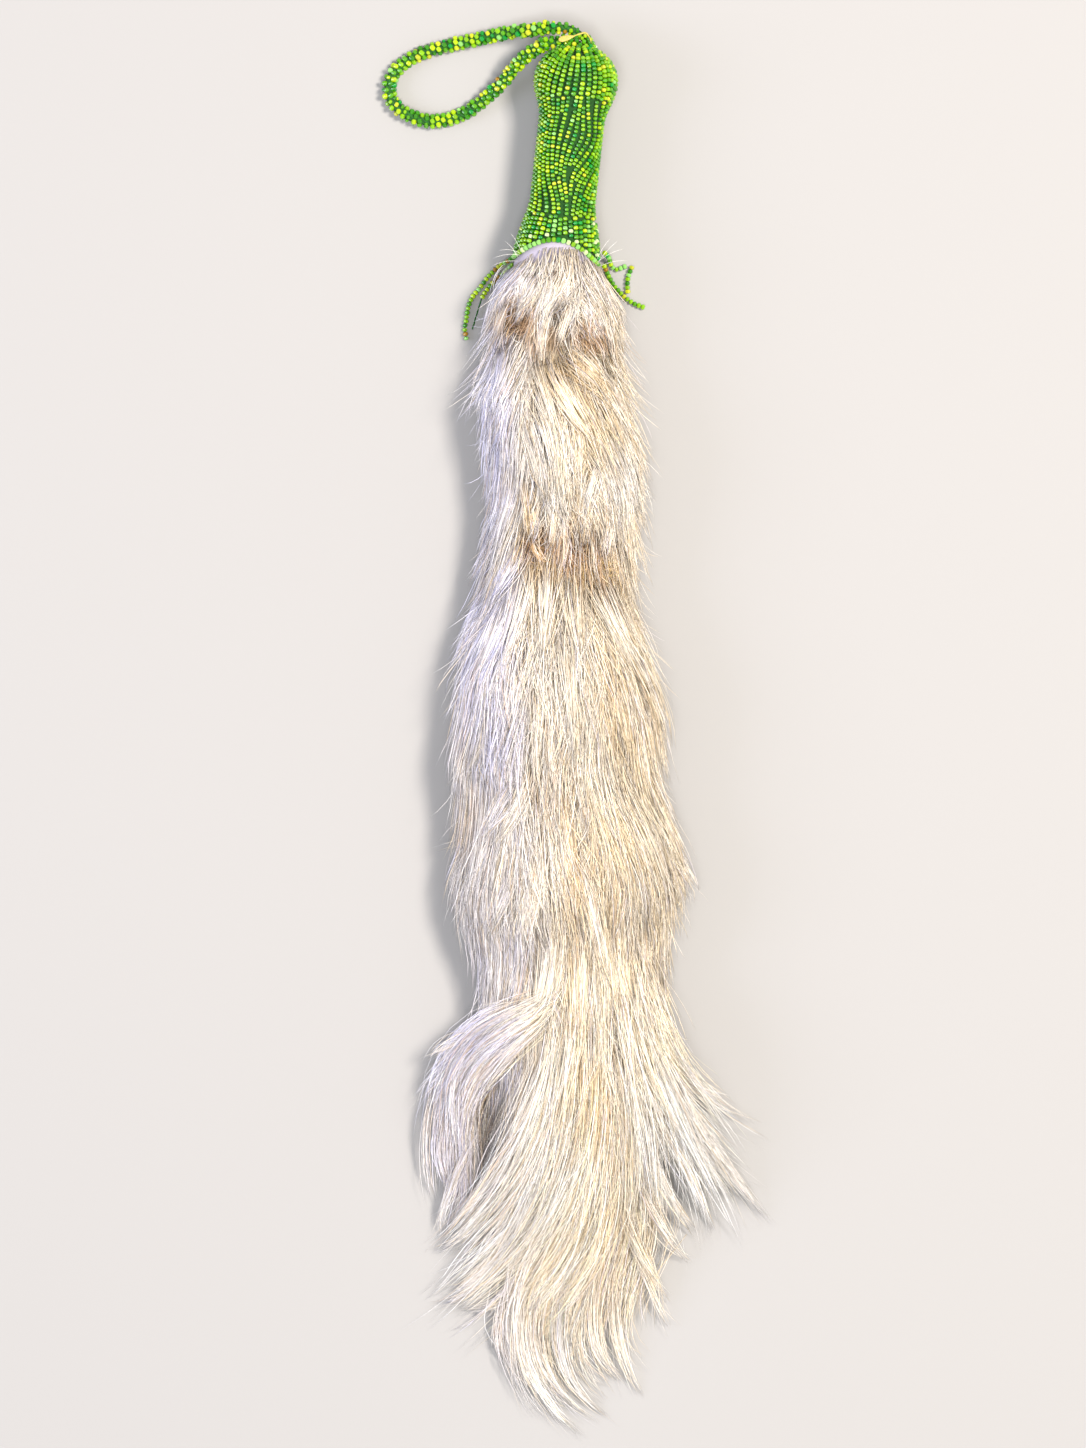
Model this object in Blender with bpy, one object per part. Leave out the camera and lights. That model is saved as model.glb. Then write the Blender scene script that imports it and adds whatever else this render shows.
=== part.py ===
"""A fly whisk: a beaded wooden handle with a wrist loop, and a long switch of pale tail hair.

Metres, +Z up. The whisk lies on flat ground, seen from above as in the photograph: +Y runs along it
towards the handle, +X to the right. The origin is on the flat underside of the hair, just below
the handle. Sizes in the tables are millimetres, and "reach" is a distance from the origin down the
tail, along -Y.
"""

import math

import bmesh
import bpy
from mathutils import Euler, Matrix, Vector

MM = 0.001
GAP = 0.3 * MM

# Handle, measured along its own axis from the skirt's rim up to the crown
HANDLE_TILT = math.radians(6.3)
HANDLE_ROOT_X = -1.0 * MM
HANDLE_ROOT_Y = 19.0 * MM
GRIP_RADIUS = 17.0 * MM
SKIRT_RADIUS = 22.4 * MM
SKIRT_TOP = 31.0 * MM
NECK_HEIGHT = 72.0 * MM
KNOB_RADIUS = 21.4 * MM
KNOB_HEIGHT = 91.0 * MM
DOME_HEIGHT = 19.5 * MM
CROWN_OPENING = 5.0 * MM
RIM_ARCH = 10.0 * MM
BEAD_LAYER = 2.4 * MM
STRING_COUNT = 34
STRING_DEPTH = 0.7 * MM
CLOTH_THICKNESS = 0.8 * MM
TURNED_SIDES = 28

# Tang and the hide that is bound over it
TANG_RADIUS = 11.0 * MM
TANG_LENGTH = 20.0 * MM
TANG_TOP = 24.0 * MM
HIDE_THICKNESS = 2.0 * MM
HIDE_TOP = 20.0 * MM
HIDE_END = 29.0 * MM
HIDE_END_RADIUS = 12.5 * MM
HIDE_BOUND_FROM = 13.0 * MM
HIDE_STEP = 3.0 * MM
HOOD_END = 30.0 * MM
HOOD_EDGE = -3.0 * MM
BINDING_THICKNESS = 1.0 * MM
BINDING_PITCH = 1.45 * MM
BINDING_TURNS = 4

# Crown and wrist loop
ROPE_RADIUS = 4.0 * MM
ROPE_GROOVE = 0.7 * MM
ROPE_ROW = 2.9 * MM
LOOP_SIDE_INSET = 3.6 * MM
LOOP_AXIS_OFFSET = KNOB_RADIUS - LOOP_SIDE_INSET
LOOP_UPPER_END = KNOB_HEIGHT + 25.0 * MM
LOOP_LOWER_END = KNOB_HEIGHT + 17.0 * MM
TAB_LENGTH = 7.5 * MM
TAB_WIDTH = 4.0 * MM
TAB_THICKNESS = 1.0 * MM

# Fringe
FRINGE_RADIUS = 1.25 * MM
FRINGE_GROOVE = 0.4 * MM
FRINGE_ROW = 2.6 * MM

# Tail: where it bends, and how far the stiff hair keeps from each bend
CREASE_X = -3.0 * MM
CREASE_REACH = 23.0 * MM
CREASE_CLEAR = 8.5 * MM
DROOP_REACH = 128.0 * MM
DROOP_CLEAR = 12.0 * MM
CURL_REACH = 350.0 * MM
CURL_CLEAR = 16.0 * MM
TAIL_AXIS_X = -1.0 * MM
TAIL_AXIS_HEIGHT = 22.0 * MM
SKIN_TOP_RADIUS = 11.0 * MM
SKIN_TIP_RADIUS = 4.0 * MM
SKIN_CLEAR = 2.5 * MM

# Locks of hair
HAIR_CLEARANCE = 0.8 * MM
HAIR_CENTRE_SHARE = 0.42
GROUND_DEPTH = 4.0 * MM
LOCK_LIP = 4.6 * MM
LOCK_TIP = 7.0 * MM
LOCKS_AROUND = 7
LOCK_RELIEF = 0.035
LOCK_TWIST = 0.6
SECTION_POINTS = 28
LOCK_SIDES = 12
LOCK_RIDGE = 0.88
LOCK_STEP = 11.0 * MM
LOCK_CUT = 0.5 * MM
BEND_INSET = 0.5 * MM
TIP_LENGTH = 86.0 * MM

AXIS_HEIGHT = SKIRT_RADIUS + GAP
HANDLE = Matrix.Translation((HANDLE_ROOT_X, HANDLE_ROOT_Y, AXIS_HEIGHT)) @ (
    Euler((-math.pi / 2, 0, -HANDLE_TILT)).to_matrix().to_4x4()
)


def clear_scene():
    for thing in list(bpy.data.objects):
        bpy.data.objects.remove(thing, do_unlink=True)


def new_collection(name):
    collection = bpy.data.collections.new(name)
    bpy.context.scene.collection.children.link(collection)
    return collection


def material(name, colour, roughness, metallic=0.0):
    """A Principled material; colour is linear red, green and blue."""
    made = bpy.data.materials.new(name)
    made.use_nodes = True
    shader = made.node_tree.nodes["Principled BSDF"]
    shader.inputs["Base Color"].default_value = (*colour, 1.0)
    shader.inputs["Roughness"].default_value = roughness
    shader.inputs["Metallic"].default_value = metallic
    return made


def pivot(name, place, rotation=(0, 0, 0)):
    """An empty that stands on a joint's axis, as the parent of what turns about it."""
    empty = bpy.data.objects.new(name, None)
    whisk.objects.link(empty)
    empty.location = place
    empty.rotation_euler = rotation
    return empty


def place_piece(name, mesh, finish, parent, smooth=35):
    """Link a mesh made in world coordinates, its origin moved on to its parent's."""
    piece = bpy.data.objects.new(name, mesh)
    whisk.objects.link(piece)
    mesh.materials.append(finish)
    parent_place = Matrix.Translation(parent.location) @ parent.rotation_euler.to_matrix().to_4x4()
    mesh.transform(parent_place.inverted())
    piece.parent = parent
    mesh.shade_smooth()
    mesh.set_sharp_from_angle(angle=math.radians(smooth))
    return piece


def closed_mesh(name, bm):
    bmesh.ops.remove_doubles(bm, verts=bm.verts, dist=1e-7)
    bmesh.ops.recalc_face_normals(bm, faces=bm.faces)
    mesh = bpy.data.meshes.new(name)
    bm.to_mesh(mesh)
    bm.free()
    return mesh


def spin_profile(profile, steps, closed):
    """Turn (radius, height) points about the Z axis; a closed profile makes a shell."""
    bm = bmesh.new()
    verts = [bm.verts.new((radius, 0, height)) for radius, height in profile]
    pairs = list(zip(verts, verts[1:]))
    if closed:
        pairs.append((verts[-1], verts[0]))
    edges = [bm.edges.new(pair) for pair in pairs]
    bmesh.ops.spin(
        bm, geom=verts + edges, cent=(0, 0, 0), axis=(0, 0, 1),
        angle=2 * math.pi, steps=steps, use_merge=True, use_duplicate=False,
    )
    bmesh.ops.remove_doubles(bm, verts=bm.verts, dist=1e-6)
    return bm


def smooth_route(points, spacing):
    """Points about one spacing apart on a smooth curve through the given ones."""
    points = [Vector(point) for point in points]
    ends = [2 * points[0] - points[1]] + points + [2 * points[-1] - points[-2]]
    fine = []
    for a, b, c, d in zip(ends, ends[1:], ends[2:], ends[3:]):
        for step in range(40):
            t = step / 40
            fine.append(
                0.5 * ((2 * b) + (c - a) * t + (2 * a - 5 * b + 4 * c - d) * t**2
                       + (3 * b - a - 3 * c + d) * t**3)
            )
    fine.append(points[-1])
    lengths = [0.0]
    for start, end in zip(fine, fine[1:]):
        lengths.append(lengths[-1] + (end - start).length)
    count = max(2, round(lengths[-1] / spacing))
    route = []
    i = 0
    for step in range(count + 1):
        wanted = lengths[-1] * step / count
        while i < len(lengths) - 2 and lengths[i + 1] < wanted:
            i += 1
        share = (wanted - lengths[i]) / (lengths[i + 1] - lengths[i])
        route.append(fine[i].lerp(fine[i + 1], min(1.0, share)))
    return route


def tube_mesh(name, route, radii, bevel_resolution):
    """A round tube along a route, with its own radius at each point and filled caps."""
    curve = bpy.data.curves.new(name, "CURVE")
    curve.dimensions = "3D"
    curve.bevel_depth = 1.0
    curve.bevel_resolution = bevel_resolution
    curve.use_fill_caps = True
    spline = curve.splines.new("POLY")
    spline.points.add(len(route) - 1)
    for point, place, radius in zip(spline.points, route, radii):
        point.co = (*place, 1)
        point.radius = radius
    holder = bpy.data.objects.new(name, curve)
    whisk.objects.link(holder)
    bpy.context.view_layer.update()
    graph = bpy.context.evaluated_depsgraph_get()
    mesh = bpy.data.meshes.new_from_object(holder.evaluated_get(graph))
    bpy.data.objects.remove(holder)
    bpy.data.curves.remove(curve)
    bm = bmesh.new()
    bm.from_mesh(mesh)
    bpy.data.meshes.remove(mesh)
    return closed_mesh(name, bm)


def ribbed_radii(route, radius, groove, start=1.0, end=1.0):
    """Radii for a row of beads: out at each bead and in between, run from start to end shares."""
    radii = []
    for i in range(len(route)):
        share = start + (end - start) * i / (len(route) - 1)
        radii.append((radius if i % 2 else radius - groove) * share)
    return radii


def handle_radius(height, inset=0.0):
    """The beaded handle's outer radius, or that of a layer which lies inset below it."""
    if height < SKIRT_TOP:
        flare = math.sin(math.pi / 2 * min(1.0, 1 - height / SKIRT_TOP)) ** 1.5
        return GRIP_RADIUS - inset + (SKIRT_RADIUS - GRIP_RADIUS) * flare
    if height < NECK_HEIGHT:
        return GRIP_RADIUS - inset
    if height < KNOB_HEIGHT:
        swell = math.sin(math.pi / 2 * (height - NECK_HEIGHT) / (KNOB_HEIGHT - NECK_HEIGHT)) ** 1.5
        return GRIP_RADIUS - inset + (KNOB_RADIUS - GRIP_RADIUS) * swell
    rise = min(1.0, (height - KNOB_HEIGHT) / (DOME_HEIGHT - inset))
    return (KNOB_RADIUS - inset) * math.sqrt(1 - rise**2)


def spread(start, end, count):
    return [start + (end - start) * i / (count - 1) for i in range(count)]


def knob_heights(inset, opening):
    """Heights from the neck up the knob and over its dome, up to an opening in the crown."""
    last = math.acos(opening / (KNOB_RADIUS - inset))
    dome = [KNOB_HEIGHT + (DOME_HEIGHT - inset) * math.sin(angle) for angle in spread(0, last, 6)]
    return spread(NECK_HEIGHT, KNOB_HEIGHT, 5)[:-1] + dome


def layer_profile(heights, inset):
    return [(handle_radius(height, inset), height) for height in heights]


def lean_to_arch(bm, top):
    """Raise the rows of a skirt into the arch that its rim makes at the front and at the back."""
    for vert in bm.verts:
        height = vert.co.z
        if height >= top:
            continue
        angle = math.atan2(vert.co.y, vert.co.x)
        raised = height + RIM_ARCH * math.sin(angle) ** 2 * (1 - height / top)
        radius = math.hypot(vert.co.x, vert.co.y)
        swell = handle_radius(raised) - handle_radius(height)
        vert.co.x *= (radius + swell) / radius
        vert.co.y *= (radius + swell) / radius
        vert.co.z = raised


def groove_strings(bm, steps):
    """Sink the outer face between every two strings of beads."""
    for vert in bm.verts:
        radius = math.hypot(vert.co.x, vert.co.y)
        column = round(math.atan2(vert.co.y, vert.co.x) / (2 * math.pi / steps))
        if column % 2 and radius > handle_radius(vert.co.z, BEAD_LAYER / 2):
            vert.co.x *= (radius - STRING_DEPTH) / radius
            vert.co.y *= (radius - STRING_DEPTH) / radius


def bead_shell(name, outer, inner, arch=False):
    """A layer of bead strings sewn side by side: grooved outside, smooth against the cloth."""
    steps = 2 * STRING_COUNT
    profile = outer + inner[::-1]
    bm = spin_profile(profile, steps, closed=True)
    groove_strings(bm, steps)
    if arch:
        lean_to_arch(bm, SKIRT_TOP)
    bm.transform(HANDLE)
    return place_piece(name, closed_mesh(name, bm), green_beads, handle_pivot)


def wooden_core():
    """One turned piece: knob, grip and the tang that goes into the hide."""
    inset = BEAD_LAYER + CLOTH_THICKNESS + 2 * GAP
    profile = [(0, -TANG_LENGTH), (TANG_RADIUS * 0.6, -TANG_LENGTH)]
    profile += [(TANG_RADIUS, -TANG_LENGTH * 0.7), (TANG_RADIUS, TANG_TOP)]
    profile += layer_profile([SKIRT_TOP] + knob_heights(inset, 0), inset)
    bm = spin_profile(profile, TURNED_SIDES, closed=False)
    bm.transform(HANDLE)
    place_piece("wooden_core", closed_mesh("wooden_core", bm), bare_wood, handle_pivot)


def cloth_cover():
    """The green cloth sock that the beads are sewn to, closed over the crown."""
    outside = BEAD_LAYER + GAP
    inside = outside + CLOTH_THICKNESS
    skirt = spread(0.0, SKIRT_TOP, 5)
    outer = layer_profile(skirt + knob_heights(outside, 0), outside)
    inner = layer_profile(skirt + knob_heights(inside, 0), inside)
    bm = spin_profile(inner[::-1] + outer, TURNED_SIDES, closed=False)
    lean_to_arch(bm, SKIRT_TOP)
    bm.transform(HANDLE)
    place_piece("cloth_cover", closed_mesh("cloth_cover", bm), green_cloth, handle_pivot)


def beadwork():
    """Skirt, grip and knob, three bands of bead strings round the cloth."""
    skirt_top = SKIRT_TOP - GAP
    bead_shell(
        "skirt_beadwork",
        layer_profile(spread(0.0, skirt_top, 6), 0.0),
        layer_profile(spread(0.0, skirt_top, 6), BEAD_LAYER),
        arch=True,
    )
    grip = spread(SKIRT_TOP, NECK_HEIGHT - GAP, 2)
    bead_shell("grip_beadwork", layer_profile(grip, 0.0), layer_profile(grip, BEAD_LAYER))
    bead_shell(
        "knob_beadwork",
        layer_profile(knob_heights(0.0, CROWN_OPENING), 0.0),
        layer_profile(knob_heights(BEAD_LAYER, CROWN_OPENING), BEAD_LAYER),
    )


def hide_radius(height):
    """The outside of the hide sleeve at a height on the handle's axis."""
    bound = TANG_RADIUS + GAP + HIDE_THICKNESS
    under_skirt = BEAD_LAYER + CLOTH_THICKNESS + 2 * GAP
    step_foot = HIDE_BOUND_FROM - HIDE_STEP
    if height > HIDE_BOUND_FROM:
        return bound
    if height > step_foot:
        share = (HIDE_BOUND_FROM - height) / HIDE_STEP
        return bound + (handle_radius(step_foot, under_skirt) - bound) * share
    if height > 0:
        return handle_radius(height, under_skirt)
    share = min(1.0, -height / HIDE_END)
    top = handle_radius(0.0, under_skirt)
    return top + (HIDE_END_RADIUS - top) * share**2


def hide_sleeve():
    """The hide at the root of the tail, drawn over the tang like a sleeve."""
    heights = spread(-HIDE_END, 0.0, 5) + [HIDE_BOUND_FROM - HIDE_STEP, HIDE_BOUND_FROM, HIDE_TOP]
    outer = [(hide_radius(height), height) for height in heights]
    inner = [(radius - HIDE_THICKNESS, height) for radius, height in outer]
    bm = spin_profile(inner[::-1] + outer, TURNED_SIDES, closed=True)
    bm.transform(HANDLE)
    place_piece("hide_sleeve", closed_mesh("hide_sleeve", bm), raw_hide, handle_pivot)


def hide_binding():
    """The thread that is wound round the hide under the skirt and holds it to the tang."""
    turn = 16
    radius = (hide_radius(HIDE_TOP) + GAP + BINDING_THICKNESS / 2) / math.cos(math.pi / turn)
    start = HIDE_TOP - BINDING_TURNS * BINDING_PITCH - BINDING_THICKNESS / 2
    route = []
    for i in range(BINDING_TURNS * turn + 1):
        angle = 2 * math.pi * i / turn
        height = start + BINDING_PITCH * i / turn
        route.append(HANDLE @ Vector((radius * math.cos(angle), radius * math.sin(angle), height)))
    least = min((route[i + turn] - route[i]).length for i in range(len(route) - turn))
    print(f"least gap in hide_binding {(least - BINDING_THICKNESS) / MM:.2f} mm")
    mesh = tube_mesh("hide_binding", route, [BINDING_THICKNESS / 2] * len(route), 0)
    place_piece("hide_binding", mesh, waxed_thread, handle_pivot)


def on_handle(side, height, above):
    """A world point by its place beside the handle's axis, along it and above it."""
    return HANDLE @ Vector((side, -above, height))


def crown_rope():
    """The sewn-down end of the bead rope, which climbs over the crown from left to right."""
    top = KNOB_HEIGHT + DOME_HEIGHT
    step_off = ROPE_RADIUS + 2 * GAP
    points = [
        on_handle(-LOOP_AXIS_OFFSET + 2 * ROPE_RADIUS + GAP, LOOP_UPPER_END, 0),
        on_handle(-3.0 * MM, top + step_off + 2.0 * MM, 0),
        on_handle(3.5 * MM, top + step_off, 0),
        on_handle(10.0 * MM, top + step_off - 3.5 * MM, 0),
    ]
    route = smooth_route(points, ROPE_ROW / 2)
    radii = ribbed_radii(route, ROPE_RADIUS, ROPE_GROOVE, 1.0, 0.6)
    mesh = tube_mesh("crown_rope", route, radii, 2)
    place_piece("crown_rope", mesh, green_beads, handle_pivot, 60)


def loop_tab():
    """A scrap of tan leather at the crown, where the rope is stitched down."""
    bm = bmesh.new()
    bmesh.ops.create_cube(bm, size=1.0)
    bmesh.ops.scale(bm, vec=(TAB_LENGTH, TAB_THICKNESS, TAB_WIDTH), verts=bm.verts)
    bmesh.ops.bevel(bm, geom=bm.edges[:], offset=0.3 * MM, segments=1, profile=0.5, affect="EDGES")
    above = ROPE_RADIUS + TAB_THICKNESS / 2 + GAP
    tilt = Matrix.Rotation(math.radians(-14), 4, "Y")
    place = Matrix.Translation((-4.0 * MM, -above, KNOB_HEIGHT + DOME_HEIGHT + ROPE_RADIUS))
    bm.transform(HANDLE @ place @ tilt)
    place_piece("loop_tab", closed_mesh("loop_tab", bm), tan_leather, handle_pivot)


def loop_route():
    """The wrist loop from its upper end on the crown round to the lower one, chosen by hand."""
    upper = on_handle(-LOOP_AXIS_OFFSET, LOOP_UPPER_END, 0)
    lower = on_handle(-LOOP_AXIS_OFFSET, LOOP_LOWER_END, 0)
    from_upper_end = [
        (-8.0, -1.2, 19.0), (-18.0, -1.7, 13.0), (-31.0, -4.2, 7.5), (-43.0, -6.7, 4.6),
        (-54.0, -9.2, 4.0), (-65.0, -13.2, 4.0), (-73.0, -18.2, 4.0), (-78.0, -25.2, 4.0),
        (-78.5, -32.7, 4.0), (-74.5, -39.2, 4.0), (-67.5, -43.7, 4.0), (-59.0, -45.9, 4.0),
        (-50.0, -45.2, 4.0), (-40.5, -41.7, 4.4), (-32.0, -35.9, 5.8), (-24.0, -28.8, 8.5),
        (-17.5, -21.6, 12.0), (-10.8, -14.6, 17.0),
    ]
    middle = []
    for x, y, z in from_upper_end:
        height = max(ROPE_RADIUS, z * MM)
        middle.append(Vector((upper.x + x * MM, upper.y + y * MM, height)))
    return [upper] + middle + [lower]


def wrist_loop():
    """The rope of beads that goes round the wrist, free between its two ends on the crown."""
    route = smooth_route(loop_route(), ROPE_ROW / 2)
    radii = ribbed_radii(route, ROPE_RADIUS, ROPE_GROOVE)
    mesh = tube_mesh("wrist_loop", route, radii, 2)
    place_piece("wrist_loop", mesh, green_beads, loop_pivot, 60)


FRINGE = {
    "fringe_left_outer": [
        (-21.5, 22.6, 11.0), (-25.3, 20.0, 6.2), (-30.5, 16.8, 2.4), (-35.5, 11.8, 1.3),
        (-39.0, 7.0, 1.3), (-43.0, 2.0, 1.3), (-45.0, -3.0, 1.3), (-46.0, -9.0, 1.3),
        (-46.8, -13.5, 1.3), (-46.0, -18.5, 1.3),
    ],
    "fringe_left_inner": [
        (-22.8, 18.2, 7.0), (-26.6, 14.6, 3.2), (-31.0, 11.0, 1.5), (-34.8, 7.0, 1.3),
        (-38.0, 2.0, 1.3), (-40.0, -4.0, 1.3), (-41.5, -9.0, 1.3), (-43.0, -14.0, 1.3),
    ],
    "fringe_right_upper": [
        (23.4, 24.0, 8.5), (25.6, 21.5, 5.0), (26.5, 18.5, 2.5), (29.0, 16.0, 1.4),
        (33.5, 17.5, 1.3),
    ],
    "fringe_right_lower": [
        (23.2, 17.5, 6.5), (25.5, 12.5, 2.6), (28.5, 7.5, 1.3), (33.5, 2.2, 1.3),
        (38.0, -1.0, 1.3), (42.0, -2.5, 1.3),
    ],
    "fringe_right_upturned": [
        (35.0, 5.0, 1.3), (34.8, 9.0, 1.3), (35.4, 13.0, 1.3), (37.0, 17.0, 1.3),
    ],
}


def fringe():
    """The loose ends of bead string that hang from the two corners of the skirt."""
    for name, points in FRINGE.items():
        route = smooth_route([Vector(point) * MM for point in points], FRINGE_ROW / 2)
        radii = ribbed_radii(route, FRINGE_RADIUS, FRINGE_GROOVE)
        mesh = tube_mesh(name, route, radii, 2)
        place_piece(name, mesh, green_beads, handle_pivot, 60)


def hair_section(reach, left, right, height, inset=0.0, tips=0.0, turn=0.0):
    """One cross-section of the hair, flat where it lies on the ground, as points round it."""
    ring = []
    middle = (right - left) / 2
    half_width = (right + left) / 2 - inset
    centre_height = height * HAIR_CENTRE_SHARE
    for i in range(SECTION_POINTS):
        angle = 2 * math.pi * i / SECTION_POINTS
        relief = 1 + LOCK_RELIEF * math.cos(LOCKS_AROUND * angle + turn)
        rise = math.sin(angle)
        half_height = height - centre_height if rise > 0 else centre_height + GROUND_DEPTH
        x = middle + half_width * relief * math.cos(angle)
        z = centre_height + (half_height - inset) * relief * rise
        lock = max(0.0, math.cos(LOCKS_AROUND * angle + turn)) * max(0.0, min(1.0, rise + 0.5))
        ring.append(Vector((x, -reach - tips * lock, max(0.0, z))))
    return ring


def bore_ring(reach, radius):
    """A round opening for the tail skin, with as many points as a hair section."""
    ring = []
    for i in range(SECTION_POINTS):
        angle = 2 * math.pi * i / SECTION_POINTS
        x = TAIL_AXIS_X + radius * math.cos(angle)
        z = TAIL_AXIS_HEIGHT + radius * math.sin(angle)
        ring.append(Vector((x, -reach, z)))
    return ring


def loft(name, rings, closed=False):
    """Join rings of equally many points; the ends are capped, or joined into a hollow body."""
    bm = bmesh.new()
    loops = [[bm.verts.new(point) for point in ring] for ring in rings]
    count = len(rings[0])
    pairs = list(zip(loops, loops[1:]))
    if closed:
        pairs.append((loops[-1], loops[0]))
    for near, far in pairs:
        for i in range(count):
            following = (i + 1) % count
            corners = [near[i], near[following], far[following], far[i]]
            bm.faces.new(corners)
    if not closed:
        bm.faces.new(loops[0][::-1])
        bm.faces.new(loops[-1])
    bmesh.ops.triangulate(bm, faces=bm.faces)
    return closed_mesh(name, bm)


def section_rings(rows):
    """The sections of a band of hair, its locks twisting a little from each one to the next."""
    return [hair_section(*row, turn=LOCK_TWIST * i) for i, row in enumerate(rows)]


def hair_tier(name, parent, rows, lip, bored):
    """A band of hair lying down the tail. With a lip, its lock tips overhang the next band."""
    rings = section_rings(rows)
    start = rows[0][0]
    end = rows[-1][0]
    if lip:
        turn = LOCK_TWIST * (len(rows) - 1)
        rings[-1] = hair_section(*rows[-1], tips=LOCK_TIP, turn=turn)
        rings.append(hair_section(*rows[-1], inset=LOCK_LIP, turn=turn))
    if bored:
        rings.append(bore_ring(end, skin_radius(end) + GAP))
        rings.append(bore_ring(start, skin_radius(start) + GAP))
    mesh = loft(name, rings, closed=bored)
    return place_piece(name, mesh, pale_hair, parent, 40)


def after_lip(row):
    """The first row of a band that starts under the lip of the band before it."""
    reach, left, right, height = row
    step = LOCK_LIP + 2 * GAP
    return (reach + 2 * GAP, left - step, right - step, height - step)


def band_rows(start, end, rows):
    """Rows of (share of the way, left, right, height in mm) with their reach and widths in metres."""
    made = []
    for share, left, right, height in rows:
        made.append((start + (end - start) * share, left * MM, right * MM, height * MM))
    return made


UPPER_SPAN = (CREASE_REACH + CREASE_CLEAR, DROOP_REACH - DROOP_CLEAR)
MIDDLE_SPAN = (DROOP_REACH + DROOP_CLEAR, CURL_REACH - CURL_CLEAR)
TIP_SPAN = (CURL_REACH + CURL_CLEAR, CURL_REACH + CURL_CLEAR + TIP_LENGTH)

SHOULDER_ROWS = band_rows(*UPPER_SPAN, [(0.0, 33, 31, 44), (0.14, 40, 33, 48), (0.34, 42, 38, 51)])
UPPER_ROWS = band_rows(*UPPER_SPAN, [(0.53, 36, 39, 48), (0.74, 33.5, 41.5, 49), (1.0, 36, 39, 46)])
MIDDLE_ROWS = band_rows(*MIDDLE_SPAN, [(0.0, 39, 38, 46), (0.11, 45, 41, 50), (0.25, 51, 49, 52)])
BELLY_ROWS = band_rows(*MIDDLE_SPAN, [(0.35, 47.5, 50, 50), (0.51, 52, 53, 51)])
LOWER_ROWS = band_rows(*MIDDLE_SPAN, [(0.63, 47.5, 56, 50), (0.78, 49, 64, 48)])
WAIST_ROWS = band_rows(*MIDDLE_SPAN, [(0.89, 45, 57, 45), (1.0, 38, 52, 41)])
TIP_ROWS = band_rows(
    *TIP_SPAN, [(0.0, 32, 48, 38), (0.35, 28, 50, 34), (0.74, 26, 44, 26), (1.0, 22, 38, 20)],
)


SKIN_END_REACH = MIDDLE_ROWS[-1][0] - SKIN_CLEAR


def skin_radius(reach):
    """The tail skin narrows evenly from the crease to its end."""
    share = (reach - CREASE_REACH) / (SKIN_END_REACH - CREASE_REACH)
    return SKIN_TOP_RADIUS + (SKIN_TIP_RADIUS - SKIN_TOP_RADIUS) * share


def tail_skin():
    """The skin of the tail that the hair grows from, a tapering strip rolled round itself."""
    spans = {
        "tail_skin_upper": (upper_pivot, CREASE_REACH + CREASE_CLEAR, DROOP_REACH - DROOP_CLEAR),
        "tail_skin_lower": (middle_pivot, DROOP_REACH + DROOP_CLEAR, SKIN_END_REACH),
    }
    for name, (parent, start, end) in spans.items():
        rings = []
        reaches = [start + 1 * MM] + spread(start + 3 * MM, end - 3 * MM, 4) + [end - 1 * MM]
        for i, reach in enumerate(reaches):
            share = 0.7 if i in (0, len(reaches) - 1) else 1.0
            rings.append(bore_ring(reach, skin_radius(reach) * share)[::2])
        place_piece(name, loft(name, rings), raw_hide, parent)


def hood_ring(height, left, right, thickness, arched=0.0):
    """A section of the short hair over the hide sleeve, square to the handle's own axis."""
    ring = []
    for point in hair_section(0.0, left, right, thickness):
        above = point.z - AXIS_HEIGHT
        side = point.x
        angle = math.atan2(above, side)
        raised = height + arched * math.sin(angle) ** 2
        ring.append(on_handle(side, raised, above))
    return ring


def sleeve_bore_ring(height, arched=0.0):
    """The opening in the short hair that the hide sleeve goes through, at a handle's height."""
    ring = []
    for i in range(SECTION_POINTS):
        angle = 2 * math.pi * i / SECTION_POINTS
        raised = height + arched * math.sin(angle) ** 2
        radius = hide_radius(raised) + HAIR_CLEARANCE
        ring.append(on_handle(radius * math.cos(angle), raised, radius * math.sin(angle)))
    return ring


def hood_fur():
    """Short hair over the hide sleeve, from the arched edge of the skirt to the crease."""
    thickness = 2 * SKIRT_RADIUS
    rim = SKIRT_RADIUS - 1.0 * MM
    first = HOOD_EDGE + (-HOOD_END - HOOD_EDGE) * 0.3
    second = HOOD_EDGE + (-HOOD_END - HOOD_EDGE) * 0.63
    rings = [
        hood_ring(HOOD_EDGE, rim, rim, thickness - 1.0 * MM, RIM_ARCH),
        hood_ring(first, 24.0 * MM, 28.0 * MM, thickness, RIM_ARCH / 3),
        hood_ring(second, 28.0 * MM, 32.0 * MM, thickness + 1.0 * MM),
        hood_ring(-HOOD_END, 30.0 * MM, 35.0 * MM, thickness),
        sleeve_bore_ring(-HOOD_END),
        sleeve_bore_ring(second),
        sleeve_bore_ring(first, RIM_ARCH / 3),
        sleeve_bore_ring(HOOD_EDGE, RIM_ARCH),
    ]
    place_piece("hood_fur", loft("hood_fur", rings, closed=True), pale_hair, handle_pivot, 40)


def drawn_in(row, shift, turn=0.0):
    """A band's end section, a little smaller and moved a hair's breadth into the bend."""
    reach, left, right, height = row
    inset = BEND_INSET
    return hair_section(reach + shift, left - inset, right - inset, height - inset, turn=turn)


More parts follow.
